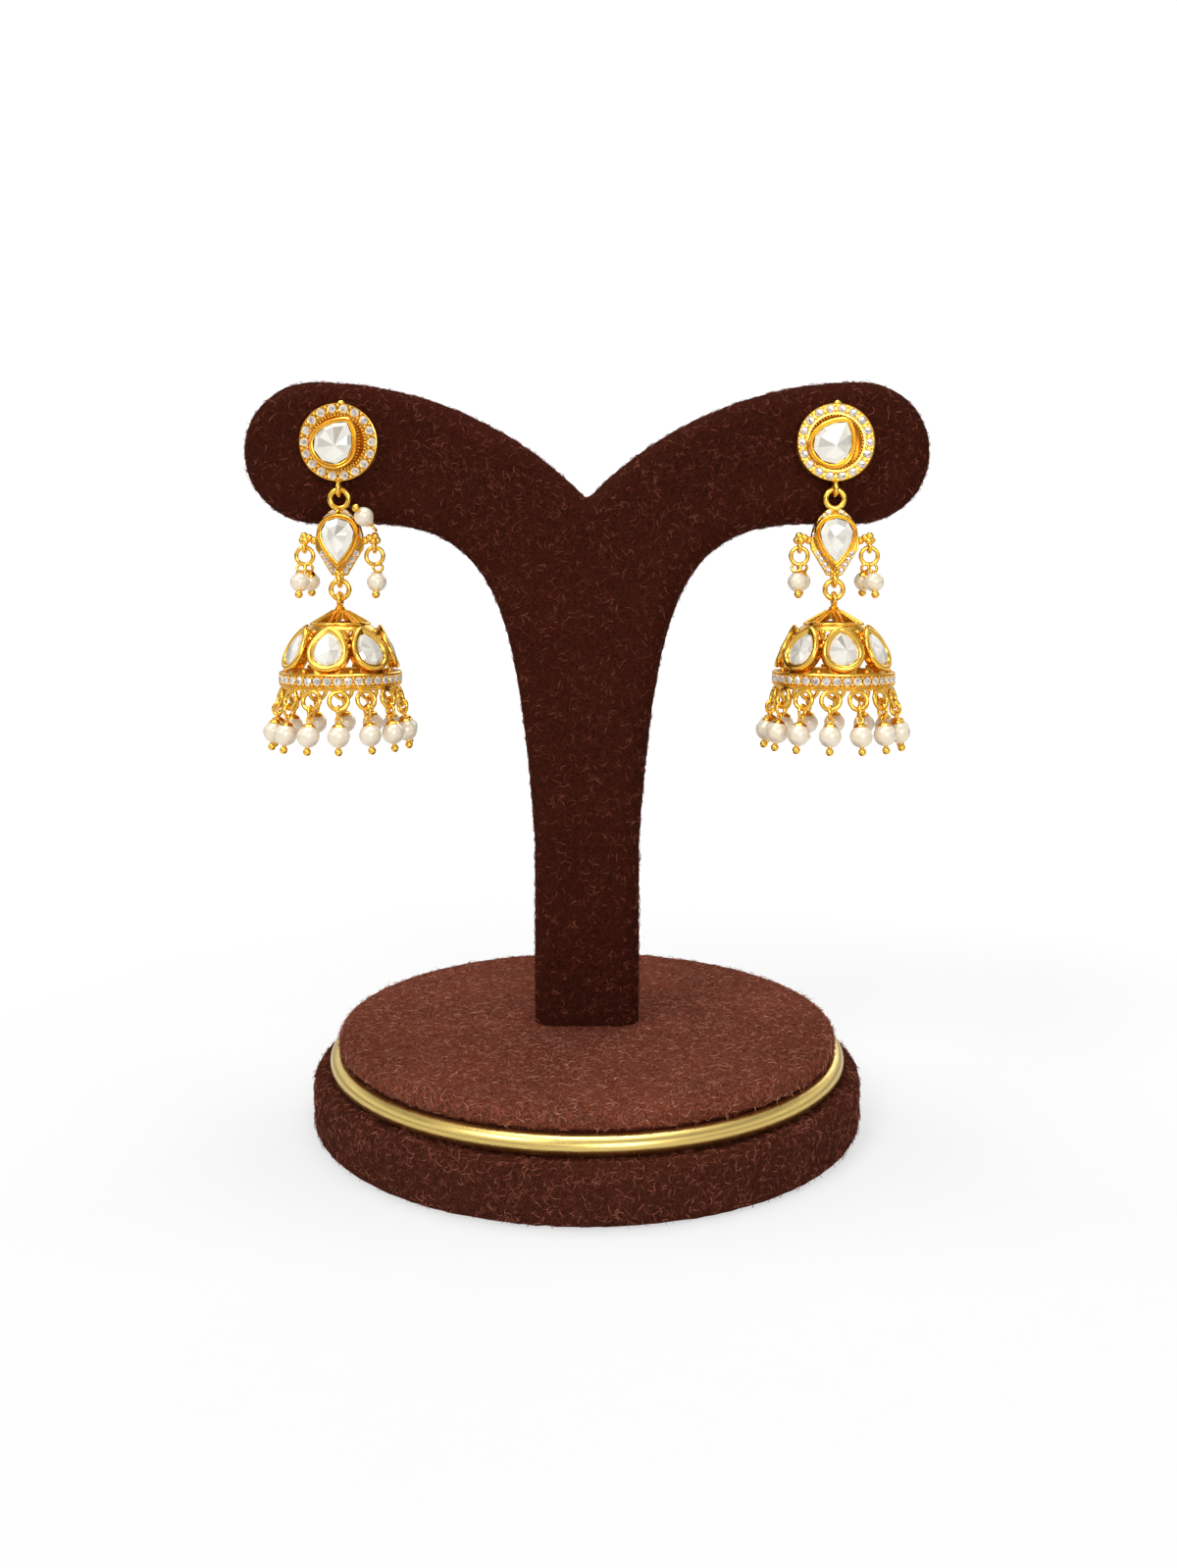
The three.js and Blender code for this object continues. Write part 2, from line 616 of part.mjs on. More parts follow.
const group = new THREE.Group();
group.add(named('base_lower', baseLower(), baseFelt));
group.add(named('base_upper', baseUpper(), baseFelt));
group.add(named('base_ring', baseRing(), brass));
group.add(named('stand_arms', standArms(), standFelt));
const pair = [
  ['left', -earringOffset, LEFT_BELL_TURN, true],
  ['right', earringOffset, RIGHT_BELL_TURN, false],
];
pair.forEach(([name, offset, bellTurn, raisedDrop]) => {
  const one = earring(name, bellTurn, raisedDrop);
  one.position.set(offset, -ARM_DEPTH / 2 - STUD_SEAT, STAND_HEIGHT - STUD_DROP);
  group.add(one);
});

export default group;
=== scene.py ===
"""The looks of a pair of jhumka earrings on a felt-covered display stand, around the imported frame."""
import json
import math
import random
from contextlib import contextmanager

import bmesh
import bpy
import numpy as np
from bpy.props import FloatProperty, FloatVectorProperty, IntProperty, PointerProperty
from mathutils import Matrix, Vector


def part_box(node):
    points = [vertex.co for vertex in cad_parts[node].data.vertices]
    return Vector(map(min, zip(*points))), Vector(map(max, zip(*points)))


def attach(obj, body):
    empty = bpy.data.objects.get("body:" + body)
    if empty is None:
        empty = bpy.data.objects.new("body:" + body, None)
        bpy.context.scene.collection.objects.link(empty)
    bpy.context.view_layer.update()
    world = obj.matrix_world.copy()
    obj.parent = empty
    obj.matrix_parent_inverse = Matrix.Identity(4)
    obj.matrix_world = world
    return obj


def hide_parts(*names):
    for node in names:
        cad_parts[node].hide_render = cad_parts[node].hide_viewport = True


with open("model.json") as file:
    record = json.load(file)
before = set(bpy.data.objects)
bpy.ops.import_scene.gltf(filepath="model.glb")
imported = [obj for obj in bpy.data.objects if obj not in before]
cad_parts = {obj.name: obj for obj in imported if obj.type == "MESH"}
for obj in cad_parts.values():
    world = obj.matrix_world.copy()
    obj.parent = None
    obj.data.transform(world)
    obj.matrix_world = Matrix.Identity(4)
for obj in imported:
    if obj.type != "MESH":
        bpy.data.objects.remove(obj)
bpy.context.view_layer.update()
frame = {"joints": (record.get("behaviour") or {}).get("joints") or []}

bl_info = {
    "name": "Jhumka earrings on a display stand",
    "version": (1, 0, 0),
    "blender": (4, 5, 0),
    "location": "View3D > Sidebar > Jhumka",
    "description": "Builds a pair of jhumka earrings, their felt-covered stand and a studio stage",
    "category": "Object",
}

# Pieces are modelled in millimetres and put into the frame's metres as the last step
MM = 1000
TO_METRES = Matrix.Scale(1 / MM, 4)
FACING = Matrix.Rotation(math.radians(90), 4, "X")

SIDES = ("left", "right")
JOINTS = {joint["name"]: joint for joint in frame["joints"]}

# Bell
BELL_STONES = 7
STONE_STEP = math.tau / BELL_STONES
DROPS = 2 * BELL_STONES
DROP_STEP = math.tau / DROPS
BELL_TURNS = {"left": -5.0, "right": 0.6}


def box_mm(node):
    """The lowest and highest corners of a CAD node in millimetres."""
    low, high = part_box(node)
    return low * MM, high * MM


def pivot(joint):
    """The place of a joint in millimetres."""
    return Vector(JOINTS[joint]["pos_m"]) * MM


class StandSettings(bpy.types.PropertyGroup):
    """Sizes and colours of the stand."""

    stem_width: FloatProperty(
        name="Stem width", description="Width of the stem under its flare", default=0.0167, unit="LENGTH")
    flare_height: FloatProperty(
        name="Flare height", description="Height at which the stem starts to widen", default=0.044, unit="LENGTH")
    arm_end_radius: FloatProperty(
        name="Arm end radius", description="Radius of the round ends of the arms", default=0.0111, unit="LENGTH")
    notch_depth: FloatProperty(
        name="Notch depth", description="Depth of the V between the arms", default=0.0184, unit="LENGTH")
    edge_radius: FloatProperty(
        name="Edge radius", description="Rounding of the padded edges", default=0.0036, unit="LENGTH")
    ring_wire: FloatProperty(
        name="Ring wire", description="Thickness of the brass ring's rod", default=0.003, unit="LENGTH")
    fibre_length: FloatProperty(
        name="Fibre length", description="Length of the loose felt fibres", default=0.0016, unit="LENGTH")
    fibre_width: FloatProperty(
        name="Fibre width", description="Thickness of the loose felt fibres", default=0.00011, unit="LENGTH")
    felt_colour: FloatVectorProperty(
        name="Felt", description="Ground colour of the felt", subtype="COLOR", size=3,
        default=(0.21, 0.045, 0.022), min=0, max=1)
    fibre_colour: FloatVectorProperty(
        name="Felt fibres", description="Colour of the lighter fibres", subtype="COLOR", size=3,
        default=(0.62, 0.25, 0.17), min=0, max=1)
    brass_colour: FloatVectorProperty(
        name="Brass", description="Colour of the ring", subtype="COLOR", size=3,
        default=(0.80, 0.59, 0.19), min=0, max=1)


class EarringSettings(bpy.types.PropertyGroup):
    """Sizes and colours of the earrings."""

    halo_stones: IntProperty(
        name="Halo stones", description="Small stones round the stud", default=18, min=8)
    band_stones: IntProperty(
        name="Band stones", description="Small stones round the bell's band", default=37, min=14)
    small_stone: FloatProperty(
        name="Small stone", description="Diameter of a small stone", default=0.0013, unit="LENGTH")
    fringe_pearl: FloatProperty(
        name="Fringe pearl", description="Diameter of the pearls under the bell", default=0.0034, unit="LENGTH")
    side_pearl: FloatProperty(
        name="Side pearl", description="Diameter of the pearls at the connector", default=0.003, unit="LENGTH")
    end_ball: FloatProperty(
        name="End ball", description="Diameter of the ball that ends a head pin", default=0.00125, unit="LENGTH")
    gold_colour: FloatVectorProperty(
        name="Gold", description="Colour of the gold", subtype="COLOR", size=3,
        default=(0.97, 0.58, 0.09), min=0, max=1)
    pearl_colour: FloatVectorProperty(
        name="Pearl", description="Colour of the pearls", subtype="COLOR", size=3,
        default=(0.95, 0.86, 0.70), min=0, max=1)
    stone_colour: FloatVectorProperty(
        name="Flat stones", description="Colour of the bright facets of the flat stones", subtype="COLOR", size=3,
        default=(1.0, 0.97, 0.88), min=0, max=1)


def stand_settings():
    return bpy.context.scene.jhumka_stand


def earring_settings():
    return bpy.context.scene.jhumka_earrings


# Working with Blender's own tools

def deselect():
    if bpy.context.mode != "OBJECT":
        bpy.ops.object.mode_set(mode="OBJECT")
    bpy.ops.object.select_all(action="DESELECT")


def choose(piece):
    deselect()
    piece.select_set(True)
    bpy.context.view_layer.objects.active = piece
    return piece


@contextmanager
def editing(piece):
    """Edit mode with everything selected; the mesh is handed over so that parts of it can be picked."""
    choose(piece)
    bpy.ops.object.mode_set(mode="EDIT")
    bpy.ops.mesh.select_mode(type="VERT")
    bpy.ops.mesh.select_all(action="SELECT")
    yield bmesh.from_edit_mesh(piece.data)
    bpy.ops.object.mode_set(mode="OBJECT")


def add(primitive, name, **settings):
    """A new primitive with its place in its mesh."""
    deselect()
    getattr(bpy.ops.mesh, f"primitive_{primitive}_add")(**settings)
    piece = bpy.context.active_object
    piece.name = piece.data.name = name
    bpy.ops.object.transform_apply(location=True, rotation=True, scale=True)
    return piece


def placed(piece, matrix):
    piece.data.transform(matrix)
    return piece


def shift(x, y, z):
    return Matrix.Translation((x, y, z))


def turn(degrees, axis):
    return Matrix.Rotation(math.radians(degrees), 4, axis)


def copy_of(piece, name):
    copied = piece.copy()
    copied.data = piece.data.copy()
    copied.name = copied.data.name = name
    bpy.context.collection.objects.link(copied)
    return copied


def joined(name, pieces):
    choose(pieces[0])
    for piece in pieces[1:]:
        piece.select_set(True)
    bpy.ops.object.join()
    pieces[0].name = pieces[0].data.name = name
    return pieces[0]


def at_each(piece, places, name=None):
    """The piece repeated at each place, as one mesh."""
    copies = [placed(copy_of(piece, "copy"), place) for place in places]
    bpy.data.objects.remove(piece)
    return joined(name or "row", copies)


def finished_with(piece, kind, **values):
    """A modifier that is applied at once."""
    choose(piece)
    modifier = piece.modifiers.new(kind.lower(), kind)
    for key, value in values.items():
        setattr(modifier, key, value)
    bpy.ops.object.modifier_apply(modifier=modifier.name)
    return piece


def smooth(piece, angle=38):
    choose(piece)
    bpy.ops.object.shade_smooth_by_angle(angle=math.radians(angle))
    return piece


def outwards(piece):
    with editing(piece):
        bpy.ops.mesh.remove_doubles(threshold=1e-4)
        bpy.ops.mesh.normals_make_consistent(inside=False)
    return piece


def toned(piece, tone):
    """Gives every face its tone, from a number or from a call for each face."""
    layer = piece.data.attributes.get("tone") or piece.data.attributes.new("tone", "FLOAT", "FACE")
    values = [tone(face) if callable(tone) else tone for face in piece.data.polygons]
    layer.data.foreach_set("value", values)
    return piece


def dressed(piece, material, tone=0.0):
    piece.data.materials.clear()
    piece.data.materials.append(material)
    return toned(piece, tone)


def settled(piece, name, place, body, slot, *nodes):
    """Puts a finished piece into the frame, on its body, in the place of its CAD nodes."""
    piece.name = piece.data.name = name
    piece.data.transform(TO_METRES @ place)
    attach(piece, body)
    if nodes:
        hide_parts(*nodes)
    return piece


def traced(name, points):
    """A line of edges, drawn from its first point by extruding one vertex."""
    piece = add("plane", name, size=0.1, location=points[0])
    with editing(piece):
        bpy.ops.mesh.merge(type="CENTER")
        for start, end in zip(points, points[1:]):
            step = Vector(end) - Vector(start)
            bpy.ops.mesh.extrude_region_move(TRANSFORM_OT_translate={"value": step})
    return piece


def turned(name, profile, steps):
    """A body spun about Z from a profile of (radius, height)."""
    piece = traced(name, [(radius, 0, height) for radius, height in profile])
    with editing(piece):
        bpy.ops.mesh.spin(steps=steps, angle=math.tau, center=(0, 0, 0), axis=(0, 0, 1))
    return outwards(piece)


def outline_sides(outline):
    """The outward direction of each side of a convex outline, and its distance from the middle."""
    sides = []
    for (x, y), (next_x, next_y) in zip(outline, outline[1:] + outline[:1]):
        outward = Vector((next_y - y, x - next_x))
        if outward.length > 1e-5:
            outward.normalize()
            sides.append((outward, outward.dot((x, y))))
    return sides


def drawn_in(sides, direction, inward):
    """The point in a direction from the middle that lies a distance inside all sides."""
    direction = direction.normalized()
    facing = ((outward.dot(direction), reach) for outward, reach in sides)
    return direction * min((reach - inward) / share for share, reach in facing if share > 1e-3)


def outlined(name, outline):
    """A flat face with this outline."""
    piece = add("circle", name, vertices=len(outline), fill_type="NGON")
    for vertex, (x, y) in zip(piece.data.vertices, outline):
        vertex.co = (x, y, 0)
    return piece


def moulded(name, outline, steps):
    """A body raised from an outline; each step goes inward by one number and up by the other."""
    piece = outlined(name, outline)
    sides = outline_sides(outline)
    inset = 0
    with editing(piece):
        for inward, up in steps:
            inset += inward
            bpy.ops.mesh.extrude_region_move(TRANSFORM_OT_translate={"value": (0, 0, up)})
            mesh = bmesh.from_edit_mesh(piece.data)
            for vertex in mesh.verts:
                if vertex.select:
                    vertex.co.xy = drawn_in(sides, vertex.co.xy, inset)
            bmesh.update_edit_mesh(piece.data)
    return outwards(piece)


def drop_outline(width, length, point, count, lean=0.0):
    """A drop with its point up: sharper with a greater point, and a circle at 0."""
    widest = 2 * ((1 + point) / (2 + point)) ** ((1 + point) / 2) / math.sqrt(2 + point)
    outline = []
    for i in range(count):
        angle = math.tau * i / count
        share = math.sin(angle) * abs(math.sin(angle / 2)) ** point / widest
        height = math.cos(angle)
        outline.append((-share * width / 2 + lean * (1 + height) * width / 4, height * length / 2))
    return outline


def wire_ring(name, outer, wire, sideways=False, around=28, section=10, oval=1.0):
    """A jump ring with a faint seam where its ends meet; it faces -Y, or +X if it hangs sideways."""
    ring = add("torus", name, major_radius=(outer - wire) / 2, minor_radius=wire / 2,
               major_segments=around, minor_segments=section)
    seam = outer / 2 - wire * 1.1
    for vertex in ring.data.vertices:
        if vertex.co.x > seam and abs(vertex.co.y) < 1e-4:
            vertex.co.z *= 0.9
            vertex.co.x += (seam - vertex.co.x) * 0.04
    placed(ring, turn(215, "Z") if not sideways else turn(90, "Z"))
    placed(ring, Matrix.Scale(oval, 4, (0, 1, 0)))
    placed(ring, FACING)
    if sideways:
        placed(ring, turn(90, "Z"))
    return ring


def ball(name, diameter, segments=14, rings=9):
    return add("uv_sphere", name, segments=segments, ring_count=rings, radius=diameter / 2)


def grain(name, diameter):
    """A small bead of gold, as the jeweller's graver raises it."""
    bead = add("ico_sphere", name, subdivisions=2, radius=diameter / 2)
    return placed(bead, Matrix.Scale(0.85, 4, (0, 0, 1)))


def ring_places(count, radius, height, first=0.0):
    """Places round a circle in the XY plane, each turned with its angle."""
    return [Matrix.Rotation(first + math.tau * i / count, 4, "Z") @ shift(radius, 0, height) for i in range(count)]


# Shader groups and materials

def new_group(name, inputs, outputs):
    group = bpy.data.node_groups.new(name, "ShaderNodeTree")
    for socket, kind, default in inputs:
        made = group.interface.new_socket(socket, in_out="INPUT", socket_type=kind)
        made.default_value = default
    for socket, kind in outputs:
        group.interface.new_socket(socket, in_out="OUTPUT", socket_type=kind)
    return group, group.nodes.new("NodeGroupInput"), group.nodes.new("NodeGroupOutput")


def node(tree, kind, settings=None, **links):
    """A node with its settings, and its inputs linked or set by socket name (spaces written as _)."""
    made = tree.nodes.new(kind)
    for key, value in (settings or {}).items():
        setattr(made, key, value)
    for key, value in links.items():
        socket = made.inputs[int(key[1:])] if key[0] == "i" and key[1:].isdigit() else made.inputs[key.replace("_", " ")]
        if isinstance(value, bpy.types.NodeSocket):
            tree.links.new(value, socket)
        else:
            socket.default_value = value
    return made


def math_node(tree, operation, first, second=0.0, third=0.0):
    return node(tree, "ShaderNodeMath", {"operation": operation}, i0=first, i1=second, i2=third).outputs[0]


def blended(tree, share, first, second):
    """A colour between two."""
    mix = node(tree, "ShaderNodeMix", {"data_type": "RGBA"})
    for socket, value in ((mix.inputs[0], share), (mix.inputs[6], first), (mix.inputs[7], second)):
        if isinstance(value, bpy.types.NodeSocket):
            tree.links.new(value, socket)
        else:
            socket.default_value = value
    return mix.outputs[2]


def between(tree, value, low, high, to_low=0.0, to_high=1.0):
    return node(tree, "ShaderNodeMapRange", {"interpolation_type": "SMOOTHSTEP"}, Value=value, From_Min=low,
                From_Max=high, To_Min=to_low, To_Max=to_high).outputs[0]


def millimetres(tree, **stretch):
    """Object coordinates counted in millimetres."""
    place = node(tree, "ShaderNodeTexCoord").outputs["Object"]
    return node(tree, "ShaderNodeMapping", Vector=place, Scale=stretch.get("scale", (MM, MM, MM))).outputs[0]


def noise(tree, vector, scale, detail=3.0, distortion=0.0, roughness=0.5):
    return node(tree, "ShaderNodeTexNoise", Vector=vector, Scale=scale, Detail=detail,
                Distortion=distortion, Roughness=roughness).outputs["Fac"]


def felt_group():
    """Matted wool: a colour with curled light fibres and dark pits, and the height that goes with it."""
    group, given, out = new_group("matted_felt", [
        ("Ground", "NodeSocketColor", (0.1, 0.03, 0.02, 1)),
        ("Fibre", "NodeSocketColor", (0.3, 0.1, 0.08, 1)),
        ("Fibre Share", "NodeSocketFloat", 0.5),
    ], [("Colour", "NodeSocketColor"), ("Height", "NodeSocketFloat")])
    place = millimetres(group)
    curl = noise(group, place, 0.9, 2, 2.2)
    strands = math_node(group, "ABSOLUTE", math_node(group, "SUBTRACT", noise(group, place, 1.7, 3, 3.0), 0.5))
    strand_mask = between(group, strands, 0.0, 0.035, 1.0, 0.0)
    fine = math_node(group, "ABSOLUTE", math_node(group, "SUBTRACT", noise(group, place, 3.1, 2, 2.0), 0.5))
    fine_mask = between(group, fine, 0.0, 0.05, 1.0, 0.0)
    pits = between(group, noise(group, place, 2.6, 4, 0.6), 0.38, 0.62)
    drift = between(group, noise(group, place, 0.07, 3), 0.3, 0.7)
    patch = between(group, curl, 0.35, 0.7)
    dark = blended(group, math_node(group, "MULTIPLY", pits, 0.9), (0.02, 0.004, 0.002, 1), given.outputs["Ground"])
    ground = blended(group, math_node(group, "MULTIPLY", drift, 0.35), dark, given.outputs["Ground"])
    share = math_node(group, "MULTIPLY", math_node(group, "MAXIMUM", math_node(group, "MULTIPLY", strand_mask, patch),
                                                   math_node(group, "MULTIPLY", fine_mask, 0.45)),
                      given.outputs["Fibre Share"])
    colour = blended(group, share, ground, given.outputs["Fibre"])
    height = math_node(group, "ADD", math_node(group, "MULTIPLY", pits, 0.5), share)
    group.links.new(colour, out.inputs["Colour"])
    group.links.new(height, out.inputs["Height"])
    return group


def wear_group():
    """Handled metal: uneven polish, hairline scratches and a faint tarnish."""
    group, given, out = new_group("handled_metal", [
        ("Metal", "NodeSocketColor", (0.9, 0.5, 0.1, 1)),
        ("Tarnish", "NodeSocketColor", (0.4, 0.15, 0.02, 1)),
        ("Polish", "NodeSocketFloat", 0.15),
        ("Scale", "NodeSocketFloat", 1.0),
    ], [("Colour", "NodeSocketColor"), ("Roughness", "NodeSocketFloat"), ("Height", "NodeSocketFloat")])
    place = node(group, "ShaderNodeVectorMath", {"operation": "SCALE"}, i0=millimetres(group),
                 Scale=given.outputs["Scale"]).outputs[0]
    cloud = between(group, noise(group, place, 0.8, 4, 0.5), 0.3, 0.75)
    fine = noise(group, place, 9.0, 3)
    scratch = math_node(group, "ABSOLUTE", math_node(group, "SUBTRACT", noise(group, place, 2.2, 2, 4.0), 0.5))
    scratch_mask = between(group, scratch, 0.0, 0.012, 1.0, 0.0)
    colour = blended(group, math_node(group, "MULTIPLY", cloud, 0.12), given.outputs["Metal"],
                     given.outputs["Tarnish"])
    rough = math_node(group, "MULTIPLY_ADD", cloud, 0.07, given.outputs["Polish"])
    rough = math_node(group, "MULTIPLY_ADD", scratch_mask, 0.08, rough)
    height = math_node(group, "SUBTRACT", math_node(group, "MULTIPLY", fine, 0.35),
                       math_node(group, "MULTIPLY", scratch_mask, 0.4))
    group.links.new(colour, out.inputs["Colour"])
    group.links.new(rough, out.inputs["Roughness"])
    group.links.new(height, out.inputs["Height"])
    return group


def shared(name, build):
    return bpy.data.node_groups.get(name) or build()


def new_material(name):
    material = bpy.data.materials.new(name)
    material.use_nodes = True
    tree = material.node_tree
    return material, tree, tree.nodes["Principled BSDF"]


def with_group(tree, group, **values):
    placed_group = tree.nodes.new("ShaderNodeGroup")
    placed_group.node_tree = group
    for key, value in values.items():
        socket = placed_group.inputs[key.replace("_", " ")]
        if isinstance(value, bpy.types.NodeSocket):
            tree.links.new(value, socket)
        else:
            socket.default_value = value
    return placed_group


def bumped(tree, shader, height, strength, depth_mm):
    bump = node(tree, "ShaderNodeBump", Height=height, Strength=strength, Distance=depth_mm / MM)
    tree.links.new(bump.outputs[0], shader.inputs["Normal"])


def tone_of(tree):
    return node(tree, "ShaderNodeAttribute", {"attribute_name": "tone"}).outputs["Fac"]


def scaled_colour(colour, factor, depth=0.0):
    """The colour made lighter or darker, and richer with a greater depth."""
    strongest = max(colour)
    return (*(min(1.0, part * factor * (part / strongest) ** depth) for part in colour), 1)


# Each felt copy is the one felt colour scaled by a lightness factor that also carries painted light and shade; a
# greater depth makes the darker, shaded copies richer.
def felt_material(name, lightness_and_painted_light, fibre_share, depth=0.0):
    settings = stand_settings()
    material, tree, shader = new_material(name)
    felt = with_group(tree, shared("matted_felt", felt_group), Ground=scaled_colour(settings.felt_colour, lightness_and_painted_light, depth),
                      Fibre=scaled_colour(settings.fibre_colour, lightness_and_painted_light, depth), Fibre_Share=fibre_share)
    tree.links.new(felt.outputs["Colour"], shader.inputs["Base Color"])
    shader.inputs["Roughness"].default_value = 0.95
    shader.inputs["Specular IOR Level"].default_value = 0.02
    shader.inputs["Sheen Weight"].default_value = 0.06
    shader.inputs["Sheen Roughness"].default_value = 0.5
    shader.inputs["Sheen Tint"].default_value = scaled_colour(settings.fibre_colour, 1.5, depth)
    bumped(tree, shader, felt.outputs["Height"], 1.0, 0.4)
    return material


# The fibres are made lighter or darker by the same painted light and shade factor; their own tone differs at random
# from fibre to fibre.
def fibre_material(name, lightness_and_painted_light, depth=0.0):
    settings = stand_settings()
    material, tree, shader = new_material(name)
    along = noise(tree, millimetres(tree), 1.3, 2)
    ground = blended(tree, tone_of(tree), scaled_colour(settings.felt_colour, lightness_and_painted_light * 0.75, depth),
                     scaled_colour(settings.fibre_colour, lightness_and_painted_light * 1.9, depth))
    colour = blended(tree, math_node(tree, "MULTIPLY", along, 0.5), ground,
                     scaled_colour(settings.felt_colour, lightness_and_painted_light, depth))
    tree.links.new(colour, shader.inputs["Base Color"])
    shader.inputs["Roughness"].default_value = 0.8
    shader.inputs["Specular IOR Level"].default_value = 0.05
    return material


def metal_material(name, colour, polish, scale, bump):
    material, tree, shader = new_material(name)
    wear = with_group(tree, shared("handled_metal", wear_group), Metal=(*colour, 1),
                      Tarnish=scaled_colour((colour[0], colour[1] * 0.8, colour[2] * 0.5), 0.72),
                      Polish=polish, Scale=scale)
    # Painted shade: the higher a face's tone, the nearer its colour comes to a dark brown-orange, shade painted into
    # recesses and behind parts.
    painted_recess_shade = blended(tree, tone_of(tree), wear.outputs["Colour"],
                     scaled_colour((colour[0], colour[1] * 0.5, colour[2] * 0.15), 0.4))
    tree.links.new(painted_recess_shade, shader.inputs["Base Color"])
    tree.links.new(wear.outputs["Roughness"], shader.inputs["Roughness"])
    shader.inputs["Metallic"].default_value = 1.0
    bumped(tree, shader, wear.outputs["Height"], 0.02, bump)
    return material


def pearl_material():
    colour = earring_settings().pearl_colour
    material, tree, shader = new_material("pearl_nacre")
    place = millimetres(tree)
    drift = between(tree, noise(tree, place, 0.55, 3, 0.8), 0.3, 0.7)
    pink = (colour[0], colour[1] * 0.96, colour[2] * 0.97, 1)
    cream = (colour[0], colour[1] * 0.98, colour[2] * 0.86, 1)
    nacre = blended(tree, drift, pink, cream)
    shade = blended(tree, tone_of(tree), nacre, scaled_colour((colour[0], colour[1] * 0.9, colour[2] * 0.8), 0.88))
    tree.links.new(shade, shader.inputs["Base Color"])
    tree.links.new(between(tree, noise(tree, place, 3.0, 2), 0.3, 0.7, 0.34, 0.4), shader.inputs["Roughness"])
    shader.inputs["Coat Weight"].default_value = 1.0
    shader.inputs["Coat Roughness"].default_value = 0.16
    shader.inputs["Metallic"].default_value = 0.15
    bumped(tree, shader, noise(tree, place, 1.4, 2), 0.02, 0.02)
    return material


def stone_material(name, bright, dark):
    """Foil-backed glass: each facet's colour is a painted reflection, lighter or darker from facet to facet."""
    material, tree, shader = new_material(name)
    place = millimetres(tree)
    cloud = between(tree, noise(tree, place, 0.9, 3, 1.2), 0.35, 0.7)
    tone = math_node(tree, "MULTIPLY_ADD", cloud, 0.08, math_node(tree, "MULTIPLY", tone_of(tree), 0.95))
    colour = blended(tree, tone, bright, dark)
    tree.links.new(colour, shader.inputs["Base Color"])
    shader.inputs["Metallic"].default_value = 0.15
    tree.links.new(between(tree, cloud, 0.0, 1.0, 0.05, 0.12), shader.inputs["Roughness"])
    shader.inputs["Coat Weight"].default_value = 1.0
    shader.inputs["Coat Roughness"].default_value = 0.02
    shader.inputs["IOR"].default_value = 1.6
    return material


def material_named(name, build, *values):
    return bpy.data.materials.get(name) or build(*values)


def gold():
    return material_named("polished_gold", metal_material, "polished_gold",
                          tuple(earring_settings().gold_colour), 0.17, 1.0, 0.01)


def kundan():
    colour = earring_settings().stone_colour
    return material_named("kundan_glass", stone_material, "kundan_glass", (*colour, 1), (0.27, 0.22, 0.15, 1))


def pave_glass():
    return material_named("pave_glass", stone_material, "pave_glass", (0.95, 0.87, 0.78, 1), (0.13, 0.095, 0.075, 1))


def nacre():
    return material_named("pearl_nacre", lambda: pearl_material())


# Felt

def felted(piece, lump):
    """Uneven felt: the surface rises and falls a little."""
    texture = bpy.data.textures.new("felt_lumps", "CLOUDS")
    texture.noise_scale = 1.6
    texture.noise_depth = 3
    finished_with(piece, "DISPLACE", texture=texture, strength=lump, mid_level=0.5, texture_coords="LOCAL")
    return smooth(piece, 180)


